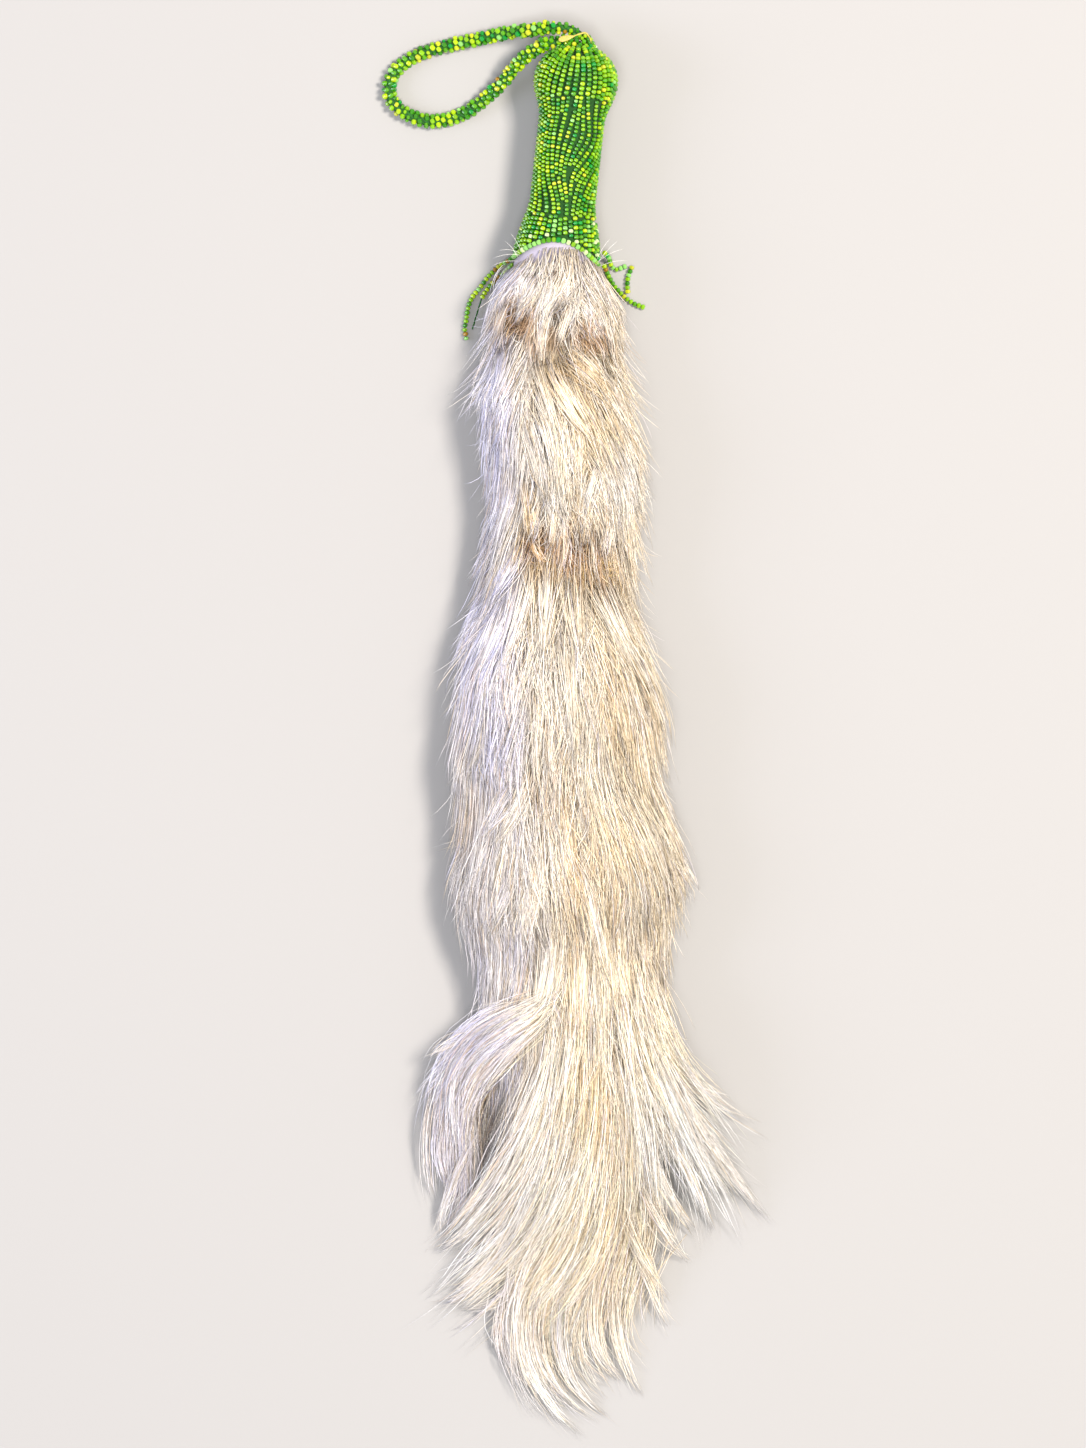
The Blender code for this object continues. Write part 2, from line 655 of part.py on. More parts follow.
def bend_fur():
    """The hair over each bend of the tail, which stretches and folds as the tail moves."""
    hood_side = hood_ring(
        -HOOD_END - GAP, 30.0 * MM - BEND_INSET, 35.0 * MM - BEND_INSET, 2 * (SKIRT_RADIUS - BEND_INSET),
    )
    mesh = loft("crease_fur", [hood_side, drawn_in(SHOULDER_ROWS[0], -GAP)])
    place_piece("crease_fur", mesh, shaded_hair, handle_pivot, 40)
    droop = [
        drawn_in(UPPER_ROWS[-1], GAP, 2 * LOCK_TWIST),
        hair_section(DROOP_REACH, 36.0 * MM, 37.0 * MM, 44.0 * MM, turn=LOCK_TWIST),
        drawn_in(MIDDLE_ROWS[0], -GAP),
    ]
    place_piece("droop_fur", loft("droop_fur", droop), shaded_hair, upper_pivot, 40)
    curl = [
        drawn_in(WAIST_ROWS[-1], GAP, 2 * LOCK_TWIST),
        hair_section(CURL_REACH, 35.0 * MM, 50.0 * MM, 38.0 * MM, turn=LOCK_TWIST),
        drawn_in(TIP_ROWS[0], -GAP),
    ]
    place_piece("curl_fur", loft("curl_fur", curl), shaded_hair, middle_pivot, 40)


# Each row is x, the reach past the lock's root, the height above the ground, then half the lock's
# width and half its height. The last three are rooted at the end of the tip's hair, the others at
# the last bend.
TIP_END_LOCKS = ("tip_tuft", "tip_side_lock", "sweep_lock")
LOCKS = {
    "left_curl_lock": [
        (-24.0, 27.0, 15.0, 7.0, 8.0), (-38.0, 29.0, 12.0, 8.5, 9.0),
        (-51.0, 37.0, 9.5, 9.0, 9.0), (-58.5, 53.0, 7.5, 8.5, 8.0),
        (-59.5, 70.0, 5.5, 6.5, 6.0), (-56.0, 91.0, 1.6, 1.4, 1.6),
    ],
    "left_fall_lock": [
        (-18.0, 58.0, 12.0, 8.0, 9.0), (-31.0, 74.0, 9.0, 9.0, 9.0),
        (-41.0, 97.0, 6.5, 7.5, 7.0), (-53.0, 128.0, 1.6, 1.4, 1.6),
    ],
    "right_long_lock": [
        (38.0, 28.0, 13.0, 9.5, 10.0), (56.0, 44.0, 9.0, 9.0, 9.0),
        (72.0, 69.0, 6.0, 6.5, 6.5), (85.0, 91.0, 3.5, 3.8, 4.0), (101.0, 107.0, 1.4, 1.2, 1.4),
    ],
    "right_short_lock": [
        (36.0, 52.0, 12.0, 8.0, 9.0), (50.0, 71.0, 8.0, 8.0, 8.0),
        (61.0, 93.0, 4.5, 5.0, 5.0), (70.0, 112.0, 1.5, 1.3, 1.5),
    ],
    "tip_tuft": [
        (6.0, 3.0, 9.0, 30.0, 10.0), (5.0, 28.0, 9.5, 38.0, 10.5), (5.0, 56.0, 9.0, 36.0, 10.0),
        (3.0, 86.0, 7.0, 22.0, 8.0), (1.0, 104.0, 5.0, 10.0, 5.5), (7.0, 117.0, 1.8, 1.6, 2.0),
    ],
    "tip_side_lock": [
        (41.0, 10.0, 8.0, 8.0, 8.0), (47.0, 34.0, 7.5, 8.5, 8.0), (45.0, 63.0, 5.5, 7.0, 6.0),
        (34.0, 94.0, 1.5, 1.3, 1.5),
    ],
    "sweep_lock": [
        (26.0, -11.0, 27.0, 11.0, 5.0), (8.0, 9.0, 25.5, 13.0, 6.0), (-16.0, 26.0, 20.0, 12.0, 6.5),
        (-36.0, 38.0, 9.0, 8.0, 6.5), (-55.0, 52.0, 1.6, 1.4, 1.6),
    ],
}


def lock_mesh(name, lock, grow=0.0):
    """A tapering lock of hair: flattened sections along a smooth route, flat on the ground."""
    rows = LOCKS[lock]
    root_reach = TIP_SPAN[1] if lock in TIP_END_LOCKS else CURL_REACH
    spine = smooth_route([Vector((x, -reach, z)) * MM for x, reach, z, _, _ in rows], LOCK_STEP)
    rings = []
    last = len(spine) - 1
    for i, centre in enumerate(spine):
        along = (spine[min(i + 1, last)] - spine[max(i - 1, 0)]).normalized()
        across = along.cross(Vector((0, 0, 1))).normalized()
        up = across.cross(along)
        row = i / last * (len(rows) - 1)
        before = min(int(row), len(rows) - 2)
        share = row - before
        width = (rows[before][3] * (1 - share) + rows[before + 1][3] * share) * MM + grow
        height = (rows[before][4] * (1 - share) + rows[before + 1][4] * share) * MM + grow
        middle = centre - Vector((0, root_reach, 0))
        ring = []
        for j in range(LOCK_SIDES):
            angle = 2 * math.pi * j / LOCK_SIDES
            ridge = 1.0 if j % 2 else LOCK_RIDGE
            point = middle + across * (width * ridge * math.cos(angle))
            point += up * (height * ridge * math.sin(angle))
            point.z = max(-grow, point.z)
            ring.append(point)
        rings.append(ring)
    return loft(name, rings)


def cutter(name, mesh):
    """A wire-drawn guide that cuts a lock to the shape of the one it lies against."""
    tool = bpy.data.objects.new(name, mesh)
    cutters.objects.link(tool)
    tool.display_type = "WIRE"
    tool.hide_render = True
    return tool


def locks():
    """The long free locks at the tail's end, each cut back from those it lies against."""
    grown = []
    for row, shift in zip(TIP_ROWS, (-2 * GAP, 0.0, 0.0, 2 * GAP)):
        reach, left, right, height = row
        grown.append((reach + shift, left + 2 * GAP, right + 2 * GAP, height + 2 * GAP))
    rings = section_rings(grown)
    for ring in rings:
        for point in ring:
            if point.z < GAP:
                point.z = -1 * MM
    cutting = {"tip_fur": cutter("cutter_tip_fur", loft("cutter_tip_fur", rings))}
    for name in LOCKS:
        cutting[name] = cutter("cutter_" + name, lock_mesh("cutter_" + name, name, LOCK_CUT))
    meets = {
        "left_curl_lock": ["tip_fur"],
        "left_fall_lock": ["tip_fur", "left_curl_lock"],
        "right_long_lock": ["tip_fur"],
        "right_short_lock": ["tip_fur", "right_long_lock"],
        "tip_tuft": ["tip_fur"],
        "tip_side_lock": ["tip_tuft", "right_short_lock"],
        "sweep_lock": ["tip_fur", "tip_tuft", "left_fall_lock"],
    }
    for name in LOCKS:
        piece = place_piece(name, lock_mesh(name, name), pale_hair, tip_pivot, 40)
        for other in meets[name]:
            cut = piece.modifiers.new("cut_" + other, "BOOLEAN")
            cut.operation = "DIFFERENCE"
            cut.solver = "MANIFOLD"
            cut.object = cutting[other]


def tail_hair():
    """Bands of long hair down the tail, each growing from under the one above."""
    hair_tier("shoulder_fur", upper_pivot, SHOULDER_ROWS, lip=True, bored=True)
    hair_tier("upper_fur", upper_pivot, [after_lip(SHOULDER_ROWS[-1])] + UPPER_ROWS, False, True)
    hair_tier("middle_fur", middle_pivot, MIDDLE_ROWS, lip=True, bored=True)
    hair_tier("belly_fur", middle_pivot, [after_lip(MIDDLE_ROWS[-1])] + BELLY_ROWS, True, False)
    hair_tier("lower_fur", middle_pivot, [after_lip(BELLY_ROWS[-1])] + LOWER_ROWS, True, False)
    hair_tier("waist_fur", middle_pivot, [after_lip(LOWER_ROWS[-1])] + WAIST_ROWS, False, False)
    hair_tier("tip_fur", tip_pivot, TIP_ROWS, lip=False, bored=False)


clear_scene()
whisk = new_collection("fly_whisk")
cutters = new_collection("cutters")

green_beads = material("green_glass_beads", (0.14, 0.44, 0.05), 0.25)
green_cloth = material("green_cloth", (0.01, 0.10, 0.01), 0.9)
bare_wood = material("turned_wood", (0.36, 0.22, 0.11), 0.6)
raw_hide = material("raw_hide", (0.66, 0.60, 0.60), 0.7)
waxed_thread = material("waxed_thread", (0.45, 0.38, 0.25), 0.8)
tan_leather = material("tan_leather", (0.72, 0.52, 0.28), 0.6)
pale_hair = material("pale_hair", (0.80, 0.70, 0.56), 0.7)
shaded_hair = material("shaded_hair", (0.52, 0.40, 0.28), 0.8)

handle_pivot = pivot("handle", HANDLE.translation, HANDLE.to_euler())
loop_pivot = pivot("loop_swing", on_handle(-LOOP_AXIS_OFFSET, LOOP_LOWER_END, 0), HANDLE.to_euler())
upper_pivot = pivot("tail_sway", (CREASE_X, -CREASE_REACH, TAIL_AXIS_HEIGHT))
middle_pivot = pivot("tail_droop", (TAIL_AXIS_X, -DROOP_REACH, TAIL_AXIS_HEIGHT))
tip_pivot = pivot("tail_curl", (TAIL_AXIS_X, -CURL_REACH, TAIL_AXIS_HEIGHT))

wooden_core()
cloth_cover()
beadwork()
hide_sleeve()
hide_binding()
crown_rope()
loop_tab()
wrist_loop()
fringe()
hood_fur()
tail_skin()
tail_hair()
bend_fur()
locks()
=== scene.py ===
"""The looks of a fly whisk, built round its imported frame.

A wooden handle covered all over in green seed beads, a wrist loop of the same beads, and a long switch
of pale animal hair. It lies on a pale floor and is seen from straight above. Metres, in the frame's
axes: +Y towards the handle's crown, +X to the right, +Z up. "Reach" is a distance down the tail, along
-Y from the origin.
"""

import math

import bmesh
import bpy
import numpy as np
from mathutils import Euler, Matrix, Vector


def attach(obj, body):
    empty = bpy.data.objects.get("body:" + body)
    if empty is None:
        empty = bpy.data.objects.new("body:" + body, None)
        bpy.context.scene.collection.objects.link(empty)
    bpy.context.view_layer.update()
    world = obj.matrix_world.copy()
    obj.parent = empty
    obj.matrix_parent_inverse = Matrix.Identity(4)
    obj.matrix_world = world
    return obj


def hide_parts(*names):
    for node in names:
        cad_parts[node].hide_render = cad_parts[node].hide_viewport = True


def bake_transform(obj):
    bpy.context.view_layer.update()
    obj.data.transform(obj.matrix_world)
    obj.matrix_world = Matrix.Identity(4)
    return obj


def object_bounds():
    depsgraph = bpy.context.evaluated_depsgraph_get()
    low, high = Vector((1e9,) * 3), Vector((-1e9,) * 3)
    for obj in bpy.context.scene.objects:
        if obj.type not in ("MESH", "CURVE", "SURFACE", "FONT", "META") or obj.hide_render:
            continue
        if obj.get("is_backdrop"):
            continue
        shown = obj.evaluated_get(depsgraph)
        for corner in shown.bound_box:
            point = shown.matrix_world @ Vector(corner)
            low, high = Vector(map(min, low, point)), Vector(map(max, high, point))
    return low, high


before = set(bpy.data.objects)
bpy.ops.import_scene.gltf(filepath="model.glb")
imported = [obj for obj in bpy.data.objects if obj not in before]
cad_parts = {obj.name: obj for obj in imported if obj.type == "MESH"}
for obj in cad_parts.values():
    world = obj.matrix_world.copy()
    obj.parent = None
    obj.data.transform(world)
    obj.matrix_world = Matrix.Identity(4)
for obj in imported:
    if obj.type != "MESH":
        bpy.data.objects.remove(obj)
cad_low, cad_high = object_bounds()

# The camera looks straight down, as the photograph does. A pixel of the photograph is half a
# millimetre at the height of the handle's axis.
MM = 0.001
PIXEL = 0.5 * MM
PHOTO_WIDTH = 1086
PHOTO_HEIGHT = 1448
ORIGIN_PIXEL_X = 558
ORIGIN_PIXEL_Y = 300
AXIS_HEIGHT = 22.7 * MM
VIEW_DISTANCE = 6.0

camera = bpy.data.objects.new("camera", bpy.data.cameras.new("camera"))
bpy.context.scene.collection.objects.link(camera)
camera.location = (
    (PHOTO_WIDTH / 2 - ORIGIN_PIXEL_X) * PIXEL,
    (ORIGIN_PIXEL_Y - PHOTO_HEIGHT / 2) * PIXEL,
    AXIS_HEIGHT + VIEW_DISTANCE,
)
camera.data.lens = camera.data.sensor_width * VIEW_DISTANCE / (PHOTO_HEIGHT * PIXEL)
camera.data.clip_end = 30
bpy.context.scene.camera = camera


# The floor is a sheet of pale matt paper, and the light is a studio's: a large soft box from the upper
# right, a cooler one from the left, and an even pale surround.
def linear(colour):
    """Linear red, green, blue and alpha of an sRGB hex colour."""
    channels = [int(colour[i:i + 2], 16) / 255 for i in (1, 3, 5)]
    return tuple(c / 12.92 if c <= 0.04045 else ((c + 0.055) / 1.055) ** 2.4 for c in channels) + (1.0,)


def add_node(material, kind, values=None, links=None, **settings):
    """Add a node with its settings, the values of its inputs and the outputs that feed them."""
    node = material.node_tree.nodes.new(kind)
    for name, setting in settings.items():
        setattr(node, name, setting)
    for name, value in (values or {}).items():
        node.inputs[name].default_value = value
    for name, output in (links or {}).items():
        material.node_tree.links.new(output, node.inputs[name])
    return node


def new_material(name):
    """A material with no nodes in it yet."""
    made = bpy.data.materials.new(name)
    made.use_nodes = True
    made.node_tree.nodes.clear()
    return made


def link_new_object(name, data):
    """A new object of this mesh, curve or light, in the scene."""
    made = bpy.data.objects.new(name, data)
    bpy.context.scene.collection.objects.link(made)
    return made


def mesh_piece(name, bm, finish, smooth_angle=None):
    """Turn a bmesh into a piece with its material, smooth up to an angle in degrees."""
    mesh = bpy.data.meshes.new(name)
    bm.to_mesh(mesh)
    bm.free()
    mesh.materials.append(finish)
    mesh.shade_smooth()
    if smooth_angle:
        mesh.set_sharp_from_angle(angle=math.radians(smooth_angle))
    return link_new_object(name, mesh)


FLOOR_SIZE = 8.0
FLOOR_DROP = 0.2 * MM
TAIL_MIDDLE = (0.0, -0.2, 0.0)
PAPER_CLOUDS_PER_METRE = 6.0
paper = new_material("matt_paper")
paper_grain = add_node(paper, "ShaderNodeTexNoise", {"Scale": PAPER_CLOUDS_PER_METRE, "Detail": 3.0})
paper_colour = add_node(
    paper, "ShaderNodeMix", {6: linear("#9B9997"), 7: linear("#969492")},
    {0: paper_grain.outputs[0]}, data_type="RGBA",
)
paper_shader = add_node(
    paper, "ShaderNodeBsdfPrincipled", {"Roughness": 0.9}, {"Base Color": paper_colour.outputs[2]},
)
add_node(paper, "ShaderNodeOutputMaterial", links={"Surface": paper_shader.outputs[0]})
bm = bmesh.new()
bmesh.ops.create_grid(bm, x_segments=1, y_segments=1, size=FLOOR_SIZE / 2)
bmesh.ops.translate(bm, vec=(0, TAIL_MIDDLE[1], -FLOOR_DROP), verts=bm.verts)
floor = mesh_piece("floor", bm, paper)
floor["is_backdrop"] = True


def soft_box(name, place, aim, size, power, colour):
    """A square area light at a place, turned to face a point."""
    light = bpy.data.lights.new(name, "AREA")
    light.size = size
    light.energy = power
    light.color = linear(colour)[:3]
    box = link_new_object(name, light)
    box.location = place
    box.rotation_euler = (Vector(aim) - Vector(place)).to_track_quat("-Z", "Y").to_euler()


soft_box("key_light", (1.7, 0.5, 3.3), TAIL_MIDDLE, 0.8, 226.0, "#FFF7EE")
soft_box("fill_light", (-2.2, -0.2, 1.4), TAIL_MIDDLE, 1.2, 36.0, "#DDE3FF")
soft_box("top_light", (-0.2, -0.6, 3.4), TAIL_MIDDLE, 0.9, 70.0, "#FFFFFF")
world = bpy.data.worlds.new("pale_surround")
world.use_nodes = True
world.node_tree.nodes["Background"].inputs["Color"].default_value = linear("#F4F5F8")
world.node_tree.nodes["Background"].inputs["Strength"].default_value = 0.62
bpy.context.scene.world = world
bpy.context.scene.view_settings.view_transform = "Standard"


# The handle is turned from one piece of wood: a domed knob, a straight grip and a tang that goes into
# the hide. The beads hide it all, so it keeps its solid and gets bare, unpolished wood.
# A wave texture of this scale has its bands about 14 mm apart, as the broad figure of turned wood has
WOOD_FIGURE_SCALE = 0.05 / (2.2 * MM)
bare_wood = new_material("turned_hardwood")
wood_place = add_node(bare_wood, "ShaderNodeTexCoord")
wood_rings = add_node(
    bare_wood, "ShaderNodeTexWave", {"Scale": WOOD_FIGURE_SCALE, "Distortion": 6.0, "Detail": 2.0},
    {"Vector": wood_place.outputs["Object"]}, wave_type="BANDS", bands_direction="X",
)
wood_colour = add_node(
    bare_wood, "ShaderNodeMix", {6: linear("#A97B4E"), 7: linear("#8A5F38")},
    {0: wood_rings.outputs[1]}, data_type="RGBA",
)
wood_shader = add_node(
    bare_wood, "ShaderNodeBsdfPrincipled", {"Roughness": 0.6}, {"Base Color": wood_colour.outputs[2]},
)
add_node(bare_wood, "ShaderNodeOutputMaterial", links={"Surface": wood_shader.outputs[0]})


def dress(node, finish):
    """Give a frame node its finish."""
    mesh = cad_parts[node].data
    mesh.materials.clear()
    mesh.materials.append(finish)


dress("wooden_core", bare_wood)


# The cloth is a sock of green cotton that the bead strings are sewn to. Between the strings it shows
# as a deep, matt green, in a plain weave of about 2 threads to the millimetre.
THREADS_PER_METRE = 2000
green_cotton = new_material("green_woven_cotton")
cotton_place = add_node(green_cotton, "ShaderNodeTexCoord")
cotton_weave = add_node(
    green_cotton, "ShaderNodeTexChecker",
    {"Scale": THREADS_PER_METRE, "Color1": linear("#0E4A00"), "Color2": linear("#083000")},
    {"Vector": cotton_place.outputs["Object"]},
)
cotton_shader = add_node(
    green_cotton, "ShaderNodeBsdfPrincipled", {"Roughness": 0.9, "Sheen Weight": 0.08},
    {"Base Color": cotton_weave.outputs[0]},
)
add_node(green_cotton, "ShaderNodeOutputMaterial", links={"Surface": cotton_shader.outputs[0]})
dress("cloth_cover", green_cotton)


# The beadwork is many short strings of opaque glass seed beads, each string couched on to the
# cloth beside the last. They converge on the crown, lean and meet in V shapes on the grip, and hang
# straight round the flared skirt, where they are larger than on the grip, and paler.
HANDLE_TILT = math.radians(6.3)
HANDLE_ROOT = (-1.0 * MM, 19.0 * MM, AXIS_HEIGHT)
GRIP_RADIUS = 17.0 * MM
SKIRT_RADIUS = 22.4 * MM
SKIRT_TOP = 31.0 * MM
NECK_HEIGHT = 72.0 * MM
KNOB_RADIUS = 21.4 * MM
KNOB_HEIGHT = 91.0 * MM
DOME_HEIGHT = 19.5 * MM
RIM_ARCH = 10.0 * MM
BEAD_DEPTH = 1.35 * MM
SWELL_EASE = 1.5
PROFILE_STEPS = 90
DOME_STEPS = 40
handle = Matrix.Translation(HANDLE_ROOT) @ Euler((-math.pi / 2, 0, -HANDLE_TILT)).to_matrix().to_4x4()


def handle_radius(height):
    """The beaded handle's outer radius at a height above the skirt's rim."""
    if height < SKIRT_TOP:
        flare = math.sin(math.pi / 2 * min(1.0, 1 - height / SKIRT_TOP)) ** SWELL_EASE
        return GRIP_RADIUS + (SKIRT_RADIUS - GRIP_RADIUS) * flare
    if height < NECK_HEIGHT:
        return GRIP_RADIUS
    share = min(1.0, (height - NECK_HEIGHT) / (KNOB_HEIGHT - NECK_HEIGHT))
    swell = math.sin(math.pi / 2 * share) ** SWELL_EASE
    return GRIP_RADIUS + (KNOB_RADIUS - GRIP_RADIUS) * swell


def rim_height(side):
    """The skirt's rim arches up at the front and back; side 0 is the front, a quarter turn the right."""
    return RIM_ARCH * math.cos(side) ** 2


profile_heights = list(np.linspace(0, KNOB_HEIGHT, PROFILE_STEPS))
profile_radii = [handle_radius(height) for height in profile_heights]
for turn in np.linspace(0, math.pi / 2, DOME_STEPS)[1:]:
    profile_heights.append(KNOB_HEIGHT + DOME_HEIGHT * math.sin(turn))
    profile_radii.append(KNOB_RADIUS * math.cos(turn))
steps = np.hypot(np.diff(profile_heights), np.diff(profile_radii))
profile_way = np.concatenate([[0.0], np.cumsum(steps)])
CROWN_WAY = profile_way[-1]


def on_profile(way):
    """Radius and height on the handle's outline, at a way along it from the skirt's rim."""
    return np.interp(way, profile_way, profile_radii), np.interp(way, profile_way, profile_heights)


def bead_centre(way, side, depth=BEAD_DEPTH):
    """The middle of a bead that lies on the cloth, in the handle's own axes."""
    radius, height = on_profile(way)
    before = on_profile(max(0.0, way - MM))
    after = on_profile(min(CROWN_WAY, way + MM))
    run = math.hypot(after[0] - before[0], after[1] - before[1])
    radius -= depth * (after[1] - before[1]) / run
    height += depth * (after[0] - before[0]) / run
    return Vector((radius * math.sin(side), -radius * math.cos(side), height))


# How far the strings lean from straight, in degrees, positive where they go to the right on the way
# down. Rows run from the skirt up to the neck, columns from the left edge to the right one.
LEAN_WAYS = (22 * MM, 30 * MM, 38 * MM, 48 * MM, 58 * MM, 66 * MM, 75 * MM, 84 * MM)
LEAN_DEGREES = np.array([
    (-6, -14, 4, -8, -12),
    (4, 20, 14, -12, -20),
    (8, 26, 20, -18, -30),
    (2, 10, -4, -38, -44),
    (-4, 2, -16, -34, -30),
    (-8, -6, -12, 10, 4),
    (6, -4, -14, 22, 14),
    (2, 6, -6, 14, 8),
])


def string_lean(way, side):
    """The lean of the grip's strings at a place, between the nearest rows and columns of the table."""
    last_column = LEAN_DEGREES.shape[1] - 1
    column = (math.sin(side) + 1) / 2 * last_column
    left = min(last_column - 1, int(column))
    lean_left = np.interp(way, LEAN_WAYS, LEAN_DEGREES[:, left])
    lean_right = np.interp(way, LEAN_WAYS, LEAN_DEGREES[:, left + 1])
    return math.radians(lean_left + (lean_right - lean_left) * (column - left))


KNOB_SWAY = 9.0
KNOB_SWAY_LENGTH = 14 * MM
KNOB_TREND = 5.0
SKIRT_SWAY = 5.0


def knob_lean(way, side):
    """The knob's strings sway to both sides, and a little more to the left on their way down."""
    return math.radians(KNOB_SWAY * math.sin(2.0 * side + way / KNOB_SWAY_LENGTH) - KNOB_TREND)


def skirt_lean(way, side):
    """The skirt's strings sway a little from place to place round it, and hang straight on the whole."""
    return math.radians(SKIRT_SWAY * math.sin(3.0 * side + 0.6))


# How close the beads of another string may lie, as a share of the spacing: to the first bead of a new
# string, and to those that follow. A shorter string than three beads isn't sewn on.
FIRST_BEAD_ROOM = 0.76
NEXT_BEAD_ROOM = 0.72
SHORTEST_STRING = 3
FILL_SEEDS = 2200


def lay_strings(low, high, spacing, pitch, lean, seeds, arch=0.0, beside=()):
    """Lay strings of beads side by side: each runs both ways from its seed until it meets another.
    Arch is how much of the rim's arch the lower end of the strings follows, and beside the strings
    that are on the handle already."""
    strings = []
    placed = np.array([bead_centre(*bead) for string in beside for bead in string]).reshape(-1, 3)
    for way, side in seeds:
        room = np.linalg.norm(placed - np.array(bead_centre(way, side)), axis=1)
        too_close = len(placed) and room.min() < FIRST_BEAD_ROOM * spacing
        if too_close or way < low + arch * rim_height(side):
            continue
        halves = []
        for direction in (-1, 1):
            half = []
            at_way = way
            at_side = side
            while True:
                angle = lean(at_way, at_side)
                at_way += direction * pitch * math.cos(angle)
                radius = max(MM, on_profile(at_way)[0])
                at_side -= direction * pitch * math.sin(angle) / radius
                if at_way > high or at_way < low + arch * rim_height(at_side):
                    break
                room = np.linalg.norm(placed - np.array(bead_centre(at_way, at_side)), axis=1)
                if len(placed) and room.min() < NEXT_BEAD_ROOM * spacing:
                    break
                half.append((at_way, at_side))
            halves.append(half)
        string = halves[0][::-1] + [(way, side)] + halves[1]
        if len(string) < SHORTEST_STRING:
            continue
        strings.append(string)
        placed = np.vstack([placed, [bead_centre(*bead) for bead in string]])
    return strings


def string_seeds(way, low, high, columns, seed):
    """Even starts round the handle at one way along it, then chance ones that fill the gaps."""
    chance = np.random.default_rng(seed)
    even = [(way + chance.uniform(0, 2 * MM), 2 * math.pi * i / columns) for i in range(columns)]
    fill = zip(chance.uniform(low, high, FILL_SEEDS), chance.uniform(0, 2 * math.pi, FILL_SEEDS))
    return even + list(fill)


# The glass colours, and how many of a hundred beads have each on the parts of the whisk
BEAD_COLOURS = {
    "grass": "#2D7400", "leaf": "#4A8C00", "lime": "#74A602", "spring": "#9EBC22", "aqua": "#1C8230",
    "mint": "#82BA62", "yellow": "#AEB434", "amber": "#8C6A20", "milk": "#B2CC90",
}
GRIP_MIX = {"grass": 18, "leaf": 28, "lime": 33, "spring": 12, "aqua": 4, "mint": 2, "yellow": 3}
KNOB_MIX = {"grass": 18, "leaf": 30, "lime": 33, "spring": 10, "aqua": 4, "mint": 2, "yellow": 3}
SKIRT_MIX = {"grass": 20, "leaf": 24, "lime": 26, "spring": 10, "aqua": 6, "mint": 6, "yellow": 4, "milk": 4}
RIM_MIX = {"leaf": 18, "lime": 24, "aqua": 6, "mint": 26, "milk": 26}
FRINGE_MIX = {
    "grass": 9, "leaf": 20, "lime": 26, "spring": 18, "aqua": 2, "mint": 19, "yellow": 5, "amber": 1,
}
ROPE_MIX = {
    "grass": 22, "leaf": 22, "lime": 22, "spring": 14, "aqua": 6, "mint": 4, "yellow": 9, "amber": 1,
}


def pick_colours(chance, mix, count):
    """Bead colours drawn from a mix, each a little lighter or darker than the glass it is made of."""
    names = list(mix)
    shares = np.array([mix[name] for name in names], float)
    drawn = chance.choice(len(names), size=count, p=shares / shares.sum())
    colours = np.array([linear(BEAD_COLOURS[names[i]]) for i in drawn])
    colours[:, :3] *= chance.uniform(0.85, 1.1, (count, 1))
    return colours


# Bead outline, as shares of its radius and its length: a round bead, flattened a little at its hole
BEAD_OUTLINE = [(0.24, -0.47), (0.70, -0.40), (0.98, -0.15), (0.98, 0.15), (0.70, 0.40), (0.24, 0.47)]
BEAD_SIDES = 7

bm = bmesh.new()
ring = [bm.verts.new((radius, 0, height)) for radius, height in BEAD_OUTLINE]
edges = [bm.edges.new(pair) for pair in zip(ring, ring[1:] + ring[:1])]
bmesh.ops.spin(
    bm, geom=ring + edges, cent=(0, 0, 0), axis=(0, 0, 1), angle=2 * math.pi,
    steps=BEAD_SIDES, use_merge=True, use_duplicate=False,
)
bmesh.ops.remove_doubles(bm, verts=bm.verts, dist=1e-5)
bmesh.ops.recalc_face_normals(bm, faces=bm.faces)
one_bead = bpy.data.meshes.new("one_bead")
bm.to_mesh(one_bead)
bm.free()
one_bead.attributes.new("glaze", "FLOAT_COLOR", "POINT")
bead_shape = np.empty(len(one_bead.vertices) * 3)
one_bead.vertices.foreach_get("co", bead_shape)
bead_shape = bead_shape.reshape(-1, 3)


def bead_mesh(name, beads, finish):
    """One piece of many beads, each given by its centre, its axis, radius, length and colour."""
    bm = bmesh.new()
    for centre, axis, radius, length, colour in beads:
        turn = np.array(axis.to_track_quat("Z", "X").to_matrix())
        placed = (bead_shape * (radius, radius, length)) @ turn.T + centre
        one_bead.vertices.foreach_set("co", placed.ravel())
        one_bead.attributes["glaze"].data.foreach_set("color", np.tile(colour, len(bead_shape)))
        bm.from_mesh(one_bead)
    return mesh_piece(name, bm, finish, smooth_angle=40)


# Opaque pressed glass: a hard gloss with small sharp highlights over a slightly streaky body colour,
# its streaks about 1.1 mm wide
STREAKS_PER_METRE = 900.0
bead_glass = new_material("opaque_seed_bead_glass")
glass_colour = add_node(bead_glass, "ShaderNodeVertexColor", layer_name="glaze")
glass_place = add_node(bead_glass, "ShaderNodeTexCoord")
glass_streaks = add_node(
    bead_glass, "ShaderNodeTexNoise", {"Scale": STREAKS_PER_METRE, "Detail": 2.0},
    {"Vector": glass_place.outputs["Object"]},
)
glass_shade = add_node(
    bead_glass, "ShaderNodeHueSaturation", {"Saturation": 1.05, "Value": 1.0},
    {"Color": glass_colour.outputs[0]},
)
glass_value = add_node(
    bead_glass, "ShaderNodeMapRange", {"To Min": 0.82, "To Max": 1.14},
    {"Value": glass_streaks.outputs[0]},
)
bead_glass.node_tree.links.new(glass_value.outputs[0], glass_shade.inputs["Value"])
